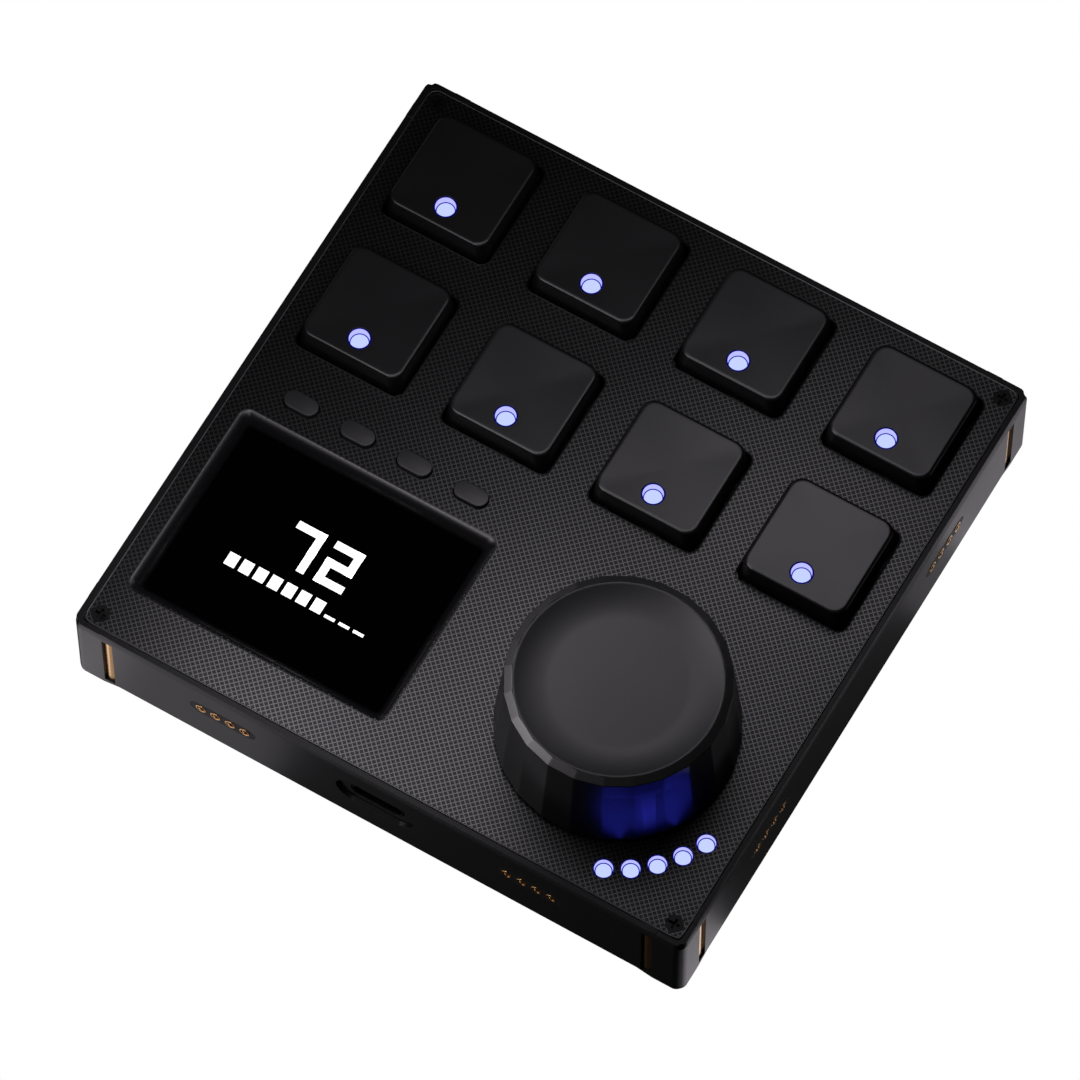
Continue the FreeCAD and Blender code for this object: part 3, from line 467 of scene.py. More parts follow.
def ridge_tree():
    """Lines across a plate, clipped by rays onto it, swept into low ridges."""
    tree, start, end = new_tree("ridges", [
        ("Pitch", "NodeSocketFloat", 0.7 * MM), ("Reach", "NodeSocketFloat", 75 * MM),
        ("Step", "NodeSocketFloat", 0.15 * MM), ("Level", "NodeSocketFloat", 0.0),
        ("Ridge Width", "NodeSocketFloat", 0.2 * MM), ("Ridge Height", "NodeSocketFloat", 0.06 * MM),
        ("Field", "NodeSocketFloat", 50 * MM), ("Turn", "NodeSocketFloat", math.pi / 4),
        ("Finish", "NodeSocketMaterial", None),
    ])

    def maths(operation, a, b=0.0):
        return add_node(tree, "ShaderNodeMath", {0: a, 1: b}, operation=operation).outputs[0]

    reach = start.outputs["Reach"]
    per_side = maths("FLOOR", maths("DIVIDE", reach, start.outputs["Pitch"]))
    count = maths("ADD", maths("MULTIPLY", per_side, 2.0), 1.0)
    width = maths("MULTIPLY", maths("SUBTRACT", count, 1.0), start.outputs["Pitch"])
    samples = maths("CEIL", maths("DIVIDE", maths("MULTIPLY", reach, 2.0), start.outputs["Step"]))
    grid = add_node(tree, "GeometryNodeMeshLine", {"Count": count, "Start Location": (0, 0, 0)}, mode="END_POINTS")
    left = add_node(tree, "ShaderNodeCombineXYZ", {"X": maths("MULTIPLY", width, -0.5)})
    right = add_node(tree, "ShaderNodeCombineXYZ", {"X": maths("MULTIPLY", width, 0.5)})
    tree.links.new(left.outputs[0], grid.inputs["Start Location"])
    tree.links.new(right.outputs[0], grid.inputs[3])
    low = add_node(tree, "ShaderNodeCombineXYZ", {"Y": maths("MULTIPLY", reach, -1.0)})
    high = add_node(tree, "ShaderNodeCombineXYZ", {"Y": reach})
    line = add_node(tree, "GeometryNodeMeshLine", {"Count": samples}, mode="END_POINTS")
    tree.links.new(low.outputs[0], line.inputs["Start Location"])
    tree.links.new(high.outputs[0], line.inputs[3])
    rows = add_node(tree, "GeometryNodeInstanceOnPoints", {
        "Points": grid.outputs["Mesh"], "Instance": line.outputs["Mesh"]})
    flat = add_node(tree, "GeometryNodeRealizeInstances", {"Geometry": rows.outputs["Instances"]})
    turn = add_node(tree, "ShaderNodeCombineXYZ", {"Z": start.outputs["Turn"]})
    lift = add_node(tree, "ShaderNodeCombineXYZ", {"Z": start.outputs["Level"]})
    laid = add_node(tree, "GeometryNodeTransform", {
        "Geometry": flat.outputs["Geometry"], "Rotation": turn.outputs[0], "Translation": lift.outputs[0]})
    spot = add_node(tree, "GeometryNodeInputPosition").outputs[0]
    above = add_node(tree, "ShaderNodeVectorMath", {0: spot, 1: (0, 0, ray_above * MM)})
    ray = add_node(tree, "GeometryNodeRaycast", {
        "Target Geometry": start.outputs["Geometry"], "Source Position": above.outputs[0],
        "Ray Direction": (0, 0, -1), "Ray Length": ray_length * MM})
    place = add_node(tree, "ShaderNodeSeparateXYZ", {0: spot})
    far = maths("MAXIMUM", maths("ABSOLUTE", place.outputs[0]), maths("ABSOLUTE", place.outputs[1]))
    inside = maths("LESS_THAN", far, start.outputs["Field"])
    kept = maths("MULTIPLY", ray.outputs["Is Hit"], inside)
    clipped = add_node(tree, "GeometryNodeDeleteGeometry", {
        "Geometry": laid.outputs["Geometry"], "Selection": maths("LESS_THAN", kept, 0.5)}, domain="POINT")
    curves = add_node(tree, "GeometryNodeMeshToCurve", {"Mesh": clipped.outputs["Geometry"]})
    ends = add_node(tree, "GeometryNodeResampleCurve", {"Curve": curves.outputs["Curve"], "Count": 2})
    profile = add_node(tree, "GeometryNodeCurvePrimitiveQuadrilateral", {
        "Height": start.outputs["Ridge Height"], "Bottom Width": start.outputs["Ridge Width"],
        "Top Width": maths("MULTIPLY", start.outputs["Ridge Width"], ridge_top_share), "Offset": 0.0},
        mode="TRAPEZOID")
    upright = add_node(tree, "GeometryNodeSetCurveNormal", {"Curve": ends.outputs["Curve"]}, mode="Z_UP")
    swept = add_node(tree, "GeometryNodeCurveToMesh", {
        "Curve": upright.outputs["Curve"], "Profile Curve": profile.outputs["Curve"]})
    return close_tree(tree, start, end, swept.outputs["Mesh"])


# %% Both families of ridges
ridge_pitch, ridge_width, ridge_height, ridge_step = 0.694, 0.15, 0.015, 0.004
ridge_reach, ridge_sample, ridge_margin, ridge_crease_deg = 1.42 * half, 0.12, 0.1, 20.0
for side, turn_deg in enumerate((45, -45)):
    ridges = new_object("ridges_%d" % (side + 1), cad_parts["top_plate"].data.copy())
    run_tree(ridges, ridge_tree(), {
        "Pitch": ridge_pitch * MM, "Reach": ridge_reach * MM, "Step": ridge_sample * MM,
        "Level": (plate_top + side * ridge_step) * MM, "Ridge Width": ridge_width * MM,
        "Ridge Height": ridge_height * MM, "Field": (plate_high.x - ridge_margin) * MM,
        "Turn": math.radians(turn_deg), "Finish": ridge_black})
    soften(ridges.data, ridge_crease_deg)
    seat(ridges, "case", "plate", ridge_black)

# %% [markdown]
# ## Lips round the openings
# Each key opening has a thin lip, which keeps the pattern's cut ends from showing. It follows the opening's own
# outline, so a tree sweeps one small round along all eight outlines at once. The plate's outer edge has one too,
# as polished as the ridges, and it shows as a thin line of light.


# %% Swept lips
def lip_tree():
    """Sweeps a small round along every edge loop of the object."""
    tree, start, end = new_tree("lips", [
        ("Lip Width", "NodeSocketFloat", 0.3 * MM), ("Finish", "NodeSocketMaterial", None)])
    loops = add_node(tree, "GeometryNodeMeshToCurve", {"Mesh": start.outputs["Geometry"]})
    upright = add_node(tree, "GeometryNodeSetCurveNormal", {"Curve": loops.outputs["Curve"]}, mode="Z_UP")
    half_width = add_node(tree, "ShaderNodeMath", {0: start.outputs["Lip Width"], 1: 0.5}, operation="MULTIPLY")
    profile = add_node(tree, "GeometryNodeCurvePrimitiveCircle", {"Resolution": 10, "Radius": half_width.outputs[0]})
    swept = add_node(tree, "GeometryNodeCurveToMesh", {
        "Curve": upright.outputs["Curve"], "Profile Curve": profile.outputs["Curve"]})
    return close_tree(tree, start, end, swept.outputs["Mesh"])


def loops_object(name, rings):
    """Closed edge loops as a mesh."""
    points, edges = [], []
    for ring in rings:
        base, count = len(points), len(ring)
        points += ring
        edges += [(base + n, base + (n + 1) % count) for n in range(count)]
    return new_object(name, new_mesh(name, points, edges))


def lip(name, rings, width, finish):
    """A lip of the plate along closed loops."""
    obj = loops_object(name, rings)
    run_tree(obj, lip_tree(), {"Lip Width": width * MM, "Finish": finish})
    soften(obj.data, crease_deg)
    return seat(obj, "case", "plate", finish)


opening_width, opening_corner = 18.7, 1.5
lip_width, lip_sunk = 0.3, 0.05
lip_reach = opening_width + lip_width
lip("key_lips", [
    rounded_ring(lip_reach, lip_reach, opening_corner + lip_width / 2, plate_top - lip_sunk, centre.x, centre.y)
    for centre in key_centres
], lip_width, plate_black)
edge_lip_width, edge_lip_sunk, edge_lip_inset, edge_corner = 0.34, 0.13, 0.05, 1.6
edge_reach = 2 * (plate_high.x - edge_lip_inset)
lip("plate_lip", [rounded_ring(edge_reach, edge_reach, edge_corner, plate_top - edge_lip_sunk)],
    edge_lip_width, ridge_black)

# %% [markdown]
# ## Screws
# Flat heads with a cross recess, black zinc. The CAD heads are right in size, so only their edges are softened.

# %% Screws
screws = refined("case_screws", "screws", fine_bevel, 1)
seat(screws, "case", "screws", screw_black, "case_screws")

# %% [markdown]
# ## Keys
# A cap is a low moulded shell: walls that lean in a little, a half-millimetre round along the top edge, and a round
# window near the front. Only the window's rim is crisp. The lamp is a clear cup in the window. Its floor, just
# above the light chip's beam, is bright and its wall carries the light up. A thin blue line between the two is
# painted shade in the crease, and the edge's dark blue is painted shade at the rim. The camera alone sees a lamp,
# and what it lights around it has a light of its own further down.

# %% Caps
cap_wall, cap_edge, cap_ceiling, cap_dish = 1.2, 0.5, 1.5, 0.16
cap_base_corner, cap_top_corner, cap_inner_corner, cap_least_corner = 1.7, 2.1, 1.5, 0.3
cap_foot_ease, corner_share = 0.1, 0.6
cap_top_width = 17.35
cap_bevel, cap_wall_normal, cut_overrun = 0.08, 0.2, 1.0
dish_shares = (0.97, 0.9, 0.8, 0.65, 0.5, 0.35, 0.2, 0.08)
window_radius, lamp_from_key = 1.84, 5.2
cap_width = cap_high.x - cap_low.x
cap_foot, cap_top = cap_low.z, cap_high.z


def cap_shape(centre):
    """The cap's skin: ceiling, inner wall, foot, outer wall, rounded edge and a very slightly dished top."""
    x, y = centre.x, centre.y
    lean = (cap_width - cap_top_width) / (cap_top - cap_foot)
    ease = cap_foot_ease

    def ring(inset, z, corner):
        width = cap_width - 2 * inset - lean * (z - cap_foot)
        return rounded_ring(width, width, max(corner - inset * corner_share, cap_least_corner), z, x, y)

    rings = [ring(cap_wall, z, cap_inner_corner) for z in (cap_top - cap_ceiling, cap_foot + ease)]
    rings += [ring(cap_wall - ease, cap_foot, cap_base_corner), ring(ease, cap_foot, cap_base_corner)]
    rings += [ring(0.0, cap_foot + ease, cap_base_corner)]
    rings += [ring(inset, z, cap_top_corner) for inset, z in quarter_round(0.0, cap_top - cap_edge, cap_edge, 5)]
    for share in dish_shares:
        width = 2 * (cap_top_width / 2 - cap_edge) * share
        sunk = cap_dish * (1 - share ** 2)
        rings.append(rounded_ring(width, width, (cap_top_corner - cap_edge) * share, cap_top - sunk, x, y))
    return loft(rings)


def window_cutter(centre):
    """A round block through a cap's ceiling and past it at both ends."""
    x, y = centre.x, centre.y - lamp_from_key
    ends = (cap_top - cap_ceiling - cut_overrun, cap_top + cut_overrun)
    return add_object("cutter", loft([round_ring(window_radius, z, x, y) for z in ends]))


def carve(obj, cutter):
    """Cuts one closed object out of another."""
    cut = obj.modifiers.new("cut", "BOOLEAN")
    cut.operation = "DIFFERENCE"
    cut.solver = "EXACT"
    cut.object = cutter
    settle(obj)
    bpy.data.objects.remove(cutter)
    return obj


for number, (node, centre) in enumerate(zip(key_nodes, key_centres), 1):
    cap = add_object("cap_%d" % number, cap_shape(centre))
    carve(cap, window_cutter(centre))
    bevel(cap, cap_bevel, 2, crease_deg)
    seat(cap, "key_%d" % number, "keycaps", cap_black, node)
    # The side walls get the darker copy: painted shade on the cap's sides.
    paint(cap, wall_black, lambda place, normal: normal.z < cap_wall_normal and place.z < cap_top - cap_edge)


# %% Lamps
lamp_steps, lamp_crease_deg = 40, 50.0
lamp_ease, lamp_edge_fall, lamp_edge_width, lamp_line_width = 0.03, 0.01, 0.2, 0.17
lamp_floor_thick, lamp_middle = 0.2, 0.3


def lamp_object(name, x, y, radius, top, sunk, lens_radius, body):
    """A lit cup on a body: bright floor, pale wall, a darker line at its foot and a dark edge, both painted shade.
    """
    bottom = top - sunk
    rings = [(radius, bottom - lamp_floor_thick), (radius, top - lamp_ease), (radius - lamp_ease, top)]
    rings += [(radius - lamp_edge_width, top - lamp_edge_fall), (lens_radius + lamp_line_width, bottom + lamp_ease)]
    rings += [(lens_radius, bottom), (lamp_middle, bottom)]
    finishes = [lamp_shade_edge, lamp_shade_edge, lamp_shade_edge, lamp_wall, lamp_shade_line, lamp_core]
    obj = add_object(name, loft([round_ring(r, z, x, y, lamp_steps) for r, z in rings]), lamp_crease_deg)
    for finish in (lamp_core, lamp_wall, lamp_shade_line, lamp_shade_edge):
        obj.data.materials.append(finish)
    places = {finish.name: n for n, finish in enumerate(obj.data.materials)}
    for level, finish in enumerate(finishes):
        for face in obj.data.polygons[level * lamp_steps:(level + 1) * lamp_steps]:
            face.material_index = places[finish.name]
    obj.visible_glossy = obj.visible_diffuse = False
    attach(obj, body)
    return obj


lamp_play, lamp_below_cap = 0.03, 0.12
key_lamp_sunk, key_lens_radius = 1.5, 1.38
for number, centre in enumerate(key_centres, 1):
    lamp = lamp_object(
        "key_lamp_%d" % number, centre.x, centre.y - lamp_from_key, window_radius - lamp_play,
        cap_top - lamp_below_cap, key_lamp_sunk, key_lens_radius, "key_%d" % number)
    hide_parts("key_lens_%d" % number)
print("lamps %.1f mm deep in %d keys" % (key_lamp_sunk, len(key_centres)))

# %% [markdown]
# ## Pill buttons
# Four stadium buttons stand a little proud behind the screen, each with a soft edge. They are drawn a third of a
# millimetre taller than their solids, which is how high they stand in the photograph.

# %% Pills
pill_length, pill_width = 5.7, 3.0
pill_round, pill_raise = 0.15, 0.35
for number, node in enumerate(pill_nodes, 1):
    low, high = span(node)
    centre = middle(node)
    levels = [(0.0, low.z)] + quarter_round(0.0, high.z + pill_raise - pill_round, pill_round, 4)
    rings = [
        rounded_ring(pill_length - 2 * i, pill_width - 2 * i, pill_width / 2 - i, z, centre.x, centre.y)
        for i, z in levels
    ]
    pill = add_object("pill_%d" % number, loft(rings))
    seat(pill, "button_%d" % number, "pills", pill_black, node)

# %% [markdown]
# ## Screen
# The cover glass lies under the plate, so the window has a bezel that rolls over a thin lip and steepens on its way
# down. A curved slope mirrors a soft box as a streak, which a straight one would not. What the screen shows is a
# plain level display: a number and a bar.

# %% Bezel and glass
window_x, window_y = middle("display_glass").x, middle("display_glass").y
window_width, window_depth = 41.0, 30.9
bezel_width, bezel_corner, bezel_least_corner, bezel_corner_share = 1.7, 1.6, 0.35, 0.7
bezel_fall = plate_top - glass_top
flange_width, flange_edge, flange_inner, flange_rise = 0.34, 0.3, 0.05, 0.022
flange_sunk, bezel_depth, glass_overlap = 0.03, 1.0, 0.05
first_tilt, last_tilt, slope_steps = 22.0, 62.0, 10


def bezel_profile():
    """(inset, height) pairs: a hair of a lip, then a slope that steepens on its way down to the glass."""
    tilts = [first_tilt + (last_tilt - first_tilt) * (n + 0.5) / slope_steps for n in range(slope_steps)]
    falls = [math.tan(math.radians(tilt)) for tilt in tilts]
    pairs = [(-flange_width, -flange_sunk), (-flange_edge, flange_rise), (-flange_inner, flange_rise), (0.0, 0.0)]
    for fall in falls:
        inset, height = pairs[-1]
        pairs.append((inset + bezel_width / slope_steps, height - fall * bezel_fall / sum(falls)))
    return pairs + [(bezel_width, -bezel_fall - glass_overlap), (-flange_width, -bezel_depth)]


bezel_rings = [
    rounded_ring(
        window_width + 2 * (bezel_width - inset), window_depth + 2 * (bezel_width - inset),
        max(bezel_corner - inset * bezel_corner_share, bezel_least_corner), plate_top + rise, window_x, window_y)
    for inset, rise in bezel_profile()
]
bezel = add_object("bezel", loft(bezel_rings, closed=True), slope_crease_deg)
seat(bezel, "case", "plate", bezel_black)
glass = refined("display_glass", "glass", fine_bevel, 1)
seat(glass, "case", "screen", glass_black, "display_glass")


# %% What the screen shows
def bar(x0, y0, x1, y1, z, thick=0.02):
    """A flat block between two corners."""
    lower = [(x0, y0, z), (x1, y0, z), (x1, y1, z), (x0, y1, z)]
    upper = [(x, y, z + thick) for x, y, _ in lower]
    return loft([lower, upper])


digit_strokes = {
    "7": ("top", "upper_right", "lower_right"),
    "2": ("top", "upper_right", "middle", "lower_left", "bottom"),
}


def digit(sign, x, y, width, height, stroke, z):
    """One digit out of straight strokes."""
    mid = y + height / 2
    places = {
        "top": (x, y + height - stroke, x + width, y + height),
        "bottom": (x, y, x + width, y + stroke),
        "middle": (x, mid - stroke / 2, x + width, mid + stroke / 2),
        "upper_left": (x, mid - stroke / 2, x + stroke, y + height),
        "upper_right": (x + width - stroke, mid - stroke / 2, x + width, y + height),
        "lower_left": (x, y, x + stroke, mid + stroke / 2),
        "lower_right": (x + width - stroke, y, x + width, mid + stroke / 2),
    }
    return merged(*[bar(*places[name], z) for name in digit_strokes[sign]])


picture_lift, digits_below, gauge_below = 0.01, 1.6, 6.0
shown_z = glass_top + picture_lift
digit_height, digit_width, digit_stroke, digit_gap = 7.4, 4.9, 1.3, 1.7
digits_left, digits_foot = window_x - digit_width - digit_gap / 2, window_y - digits_below
shown = []
for n, sign in enumerate("72"):
    left = digits_left + n * (digit_width + digit_gap)
    shown.append(digit(sign, left, digits_foot, digit_width, digit_height, digit_stroke, shown_z))
gauge_count, gauge_pitch, gauge_width, gauge_height, gauge_low, gauge_lit = 10, 2.5, 1.8, 2.2, 0.5, 7
gauge_left = window_x - gauge_pitch * gauge_count / 2 + (gauge_pitch - gauge_width) / 2
gauge_foot = window_y - gauge_below
for n in range(gauge_count):
    left = gauge_left + n * gauge_pitch
    tall = gauge_height if n < gauge_lit else gauge_low
    shown.append(bar(left, gauge_foot, left + gauge_width, gauge_foot + tall, shown_z))
picture = add_object("screen_picture", merged(*shown))
seat(picture, "case", "screen", screen_white)

# %% [markdown]
# ## Knob
# The skirt is a frustum of 24 flat facets, which fingers grip. Each corner between two facets is rounded by a hair.
# Above it a narrow, shinier bevelled band runs round to a true circle, and the top is a separate disc: a flat floor
# that curves up to the edge. The outer surface is smooth enough to mirror the blue light beside it.

# %% Knob skirt
facets = 24
half_facet = math.pi / facets
corner_cut = 0.22
base_radius, shoulder_radius, rim_radius = 18.63, 17.05, 15.82
band_height = 0.6
shoulder_z = knob_high.z - band_height
knob_x, knob_y = knob_centre.x, knob_centre.y


def facet_angles(radius):
    """Directions of the points of one facet ring: both ends of each rounded corner and its middle."""
    spread = corner_cut / radius
    corners = [2 * math.pi * (n + 0.5) / facets for n in range(facets)]
    return [corner + step * spread for corner in corners for step in (-1, 0, 1)]


def facet_ring(radius, z):
    """A ring on a 24-sided outline with eased corners."""
    points = []
    for n, turn in enumerate(facet_angles(radius)):
        off = abs((turn + half_facet) % (2 * half_facet) - half_facet)
        reach = radius * math.cos(half_facet) / math.cos(off)
        if n % 3 == 1:
            reach = radius - corner_cut * math.tan(half_facet) / 2
        points.append((knob_x + reach * math.cos(turn), knob_y + reach * math.sin(turn), z))
    return points


def even_ring(radius, z):
    """A circle with its points in the same directions as a facet ring's."""
    return [(knob_x + radius * math.cos(t), knob_y + radius * math.sin(t), z) for t in facet_angles(shoulder_radius)]


foot_z, foot_ease = knob_low.z, 0.15
lean = (base_radius - shoulder_radius) / (shoulder_z - foot_z)
cap_recess, ceiling_thick = 2.6, 2.2
seat_z = knob_high.z - cap_recess
ceiling_z = seat_z - ceiling_thick
inner_top, inner_foot = 14.6, 16.1
hub_bore, hub_radius = 3.05, 5.0
waist, shoulder_ease, rim_ease_width, rim_drop = 8.0, 0.12, 0.04, 0.05
foot_lip, base_ease, seat_middle = 0.2, 0.02, 1.0
facet_crease_deg, band_normals = 10.0, (0.6, 0.98)
knob_rings = [
    even_ring(hub_radius, ceiling_z), even_ring(inner_top, ceiling_z), even_ring(inner_foot, foot_z + foot_ease),
    even_ring(inner_foot + foot_lip, foot_z), facet_ring(base_radius - foot_ease, foot_z),
    facet_ring(base_radius - base_ease, foot_z + foot_ease), facet_ring(base_radius - lean * waist, foot_z + waist),
    facet_ring(shoulder_radius + lean * shoulder_ease, shoulder_z - shoulder_ease),
    facet_ring(shoulder_radius - shoulder_ease / 2, shoulder_z),
    even_ring(rim_radius + shoulder_ease, knob_high.z - rim_drop), even_ring(rim_radius, knob_high.z),
    even_ring(rim_radius - rim_ease_width, knob_high.z - rim_ease_width), even_ring(rim_radius - rim_drop, seat_z),
    even_ring(seat_middle, seat_z),
]
knob_body = flatten_shading(add_object("knob_body", loft(knob_rings, caps=(False, True)), facet_crease_deg))
seat(knob_body, "knob", "knob", knob_black, "knob_skirt")
paint(
    knob_body, band_black,
    lambda place, normal: band_normals[0] < normal.z < band_normals[1] and place.z > shoulder_z - rim_drop)
hub_length = 10.7
hub_low = span("encoder_shaft")[1].z - hub_length
hub_rings = [
    even_ring(radius, z)
    for radius, z in ((hub_bore, ceiling_z), (hub_bore, hub_low), (hub_radius, hub_low), (hub_radius, ceiling_z))
]
seat(add_object("knob_hub", loft(hub_rings, caps=(False, False)), turned_crease_deg), "knob", "knob", knob_black)

# %% Knob cap
disc_low, disc_high = span("knob_cap")
disc_radius = (disc_high.x - disc_low.x) / 2
flat_radius, dish_depth, dish_edge, floor_ring = 10.2, 1.4, 0.22, 0.6
across = disc_radius - dish_edge - flat_radius
floor_z = disc_high.z - dish_depth
dish_steps, dish_bend, disc_steps = 20, 1.75, 144
dish = [(floor_ring, floor_z), (flat_radius - floor_ring, floor_z)]
for n in range(dish_steps + 1):
    share = n / dish_steps
    dish.append((flat_radius + across * share, floor_z + dish_depth * share ** dish_bend))
edge_round = [(0.14, 0.0), (0.04, 0.03), (0.0, 0.12)]
dish += [(disc_radius - inset, disc_high.z - below) for inset, below in edge_round]
dish += [(disc_radius, disc_low.z)]
disc_rings = [round_ring(radius, z, knob_x, knob_y, disc_steps) for radius, z in dish]
knob_cap = add_object("knob_disc", loft(disc_rings), slope_crease_deg)
seat(knob_cap, "knob", "knob", dish_black, "knob_cap")

# %% [markdown]
# ## Lamps beside the knob
# Five light pipes end in the plate as lit cups like those of the keys.

# %% Arc lamps
arc_radius, arc_middle_deg, arc_step_deg, arc_count = 22.8, -45.0, 10.1, 5
arc_window, arc_proud, arc_sunk, arc_lens_radius = 1.62, 0.01, 1.0, 1.18
arc_turns = [
    math.radians(arc_middle_deg + (n - (arc_count - 1) / 2) * arc_step_deg) for n in range(arc_count)
]


def beside_knob(distance, turn):
    """The place at a distance from the knob's middle, in a direction."""
    return knob_x + distance * math.cos(turn), knob_y + distance * math.sin(turn)


for number, turn in enumerate(arc_turns, 1):
    x, y = beside_knob(arc_radius, turn)
    lamp_object(
        "arc_lamp_%d" % number, x, y, arc_window, plate_top + arc_proud, arc_sunk, arc_lens_radius, "case")
print("arc lamps:", arc_count)

# %% [markdown]
# ## Contacts, magnets and port
# The side contacts are gold: a ring with a rounded lip, and a sprung pin with a domed tip on two sides. One tree
# repeats a small turned part on every contact place, turned to its side.


# %% Repeating tree
def repeat_tree(part):
    """Puts a copy of a part on every point of the object, turned about Z by the point's 'turn'."""
    tree, start, end = new_tree("repeat_" + part.name, [
        ("Part", "NodeSocketObject", None), ("Finish", "NodeSocketMaterial", None)])
    info = add_node(tree, "GeometryNodeObjectInfo", {"Object": start.outputs["Part"]})
    turn = add_node(tree, "GeometryNodeInputNamedAttribute", {"Name": "turn"}, data_type="FLOAT")
    way = add_node(tree, "ShaderNodeCombineXYZ", {"Z": turn.outputs["Attribute"]})
    spin = add_node(tree, "FunctionNodeEulerToRotation", {"Euler": way.outputs[0]})
    copies = add_node(tree, "GeometryNodeInstanceOnPoints", {
        "Points": start.outputs["Geometry"], "Instance": info.outputs["Geometry"], "Rotation": spin.outputs[0]})
    return close_tree(tree, start, end, copies.outputs["Instances"])


def repeated(name, part, places, finish):
    """One mesh of a part at many places, each (x, y, z, turn)."""
    mesh = new_mesh(name, [place[:3] for place in places])
    turns = mesh.attributes.new("turn", "FLOAT", "POINT")
    for n, place in enumerate(places):
        turns.data[n].value = place[3]
    obj = new_object(name, mesh)
    run_tree(obj, repeat_tree(part), {"Part": part, "Finish": finish})
    bpy.data.objects.remove(part)
    return obj


def turned_part(name, profile, steps=24, caps=(True, True)):
    """A part turned about the X axis from (distance along X, radius) pairs."""
    turns = [2 * math.pi * n / steps for n in range(steps)]
    rings = [[(along, radius * math.cos(t), radius * math.sin(t)) for t in turns] for along, radius in profile]
    return add_object(name, loft(rings, caps=caps), turned_crease_deg)


# %% Contacts
pins_low, pins_high = span("front_contact_pins")
contact_z = (pins_low.z + pins_high.z) / 2
contact_pitch, contact_count = 2.54, 4
pin_radius = (pins_high.z - pins_low.z) / 2
pin_proud = -half - skin_ease - pins_low.y
contact_offset = pins_high.x - pin_radius - contact_pitch * (contact_count - 1) / 2
side_turns = {"right": 0.0, "back": math.pi / 2, "left": math.pi, "front": -math.pi / 2}
side_rows = {"right": (-1, 1), "back": (-1, 1), "left": (-1,), "front": (-1, 1)}


def contact_places(side):
    """Places of one side's contacts on its face, each with the side's turn."""
    turn = side_turns[side]
    places = []
    for row in side_rows[side]:
        for n in range(contact_count):
            along = row * contact_offset + (n - (contact_count - 1) / 2) * contact_pitch
            out = half if side == "back" else half + skin_ease
            x = out * math.cos(turn) - along * math.sin(turn)
            y = out * math.sin(turn) + along * math.cos(turn)
            places.append((x, y, contact_z, turn))
    return places


ring_radius, ring_bore, ring_depth, bore_depth, ring_throat = 0.92, 0.60, 3.0, 2.6, 0.25
ring_lip = [(0.0, 0.0), (0.07, 0.02), (0.1, 0.08), (0.1, 0.20), (0.06, 0.28)]
ring_profile = [(-ring_depth, ring_radius)] + [(proud, ring_radius - inset) for proud, inset in ring_lip]
ring_profile += [(-ring_throat, ring_bore), (-bore_depth, ring_bore)]
pin_depth, tip_steps, tip_end = 2.4, 6, 0.02
pin_profile = [(-pin_depth, pin_radius), (pin_proud - pin_radius, pin_radius)]
for n in range(1, tip_steps + 1):
    turn = math.pi / 2 * n / tip_steps
    along = pin_proud - pin_radius + pin_radius * math.sin(turn)
    pin_profile.append((along, max(pin_radius * math.cos(turn), tip_end)))
pad_round, pad_middle = 0.08, 0.1
pad_profile = [(-ring_depth, ring_radius), (-pad_round, ring_radius)]
pad_profile += [(0.0, ring_radius - pad_round), (0.0, pad_middle)]
ring_part = turned_part("ring_part", ring_profile, caps=(False, False))
rings = repeated("contact_rings", ring_part, contact_places("front") + contact_places("right"), gold)
seat(rings, "case", "contacts", gold, "contact_metal")
pad_part = turned_part("pad_part", pad_profile)
pads = repeated("contact_pads", pad_part, contact_places("back") + contact_places("left"), gold)
seat(pads, "case", "contacts", gold)
for side in ("front", "right"):
    pins = repeated(side + "_pins", turned_part("pin_part", pin_profile), contact_places(side), gold)
    seat(pins, side + "_pins", "contacts", gold, side + "_contact_pins")
blocks = refined("contact_blocks", "contact_blocks_soft", insert_bevel, 1, ease=True)
seat(blocks, "case", "insulator", deep_black, "contact_blocks")

# %% Magnets and port
rods_low, rods_high = span("magnet_rods")
rod_radius, rod_from_corner, rod_behind, rod_bevel, rod_steps = 1.5, 5.9, 0.12, 0.25, 48


def rod_shape(x, y):
    """An upright round rod with bevelled ends."""
    ends = [(rod_radius - rod_bevel, rods_low.z), (rod_radius, rods_low.z + rod_bevel)]
    ends += [(rod_radius, rods_high.z - rod_bevel), (rod_radius - rod_bevel, rods_high.z)]
    return loft([round_ring(r, z, x, y, rod_steps) for r, z in ends])


rod_places = []
for sign_a in (-1, 1):
    for sign_b in (-1, 1):
        along, across_face = sign_a * (half - rod_from_corner), sign_b * (half - rod_behind - rod_radius)
        rod_places += [(along, across_face), (across_face, along)]
magnets = add_object("magnets", merged(*[rod_shape(x, y) for x, y in rod_places]), turned_crease_deg)
seat(magnets, "case", "contacts", gold, "magnet_rods")
shell = refined("port_shell", "port_shell_soft", insert_bevel)
seat(shell, "case", "steel", screw_black, "port_shell")
tongue = refined("port_tongue", "port_tongue_soft", tongue_bevel, 1)
seat(tongue, "case", "insulator", deep_black, "port_tongue")
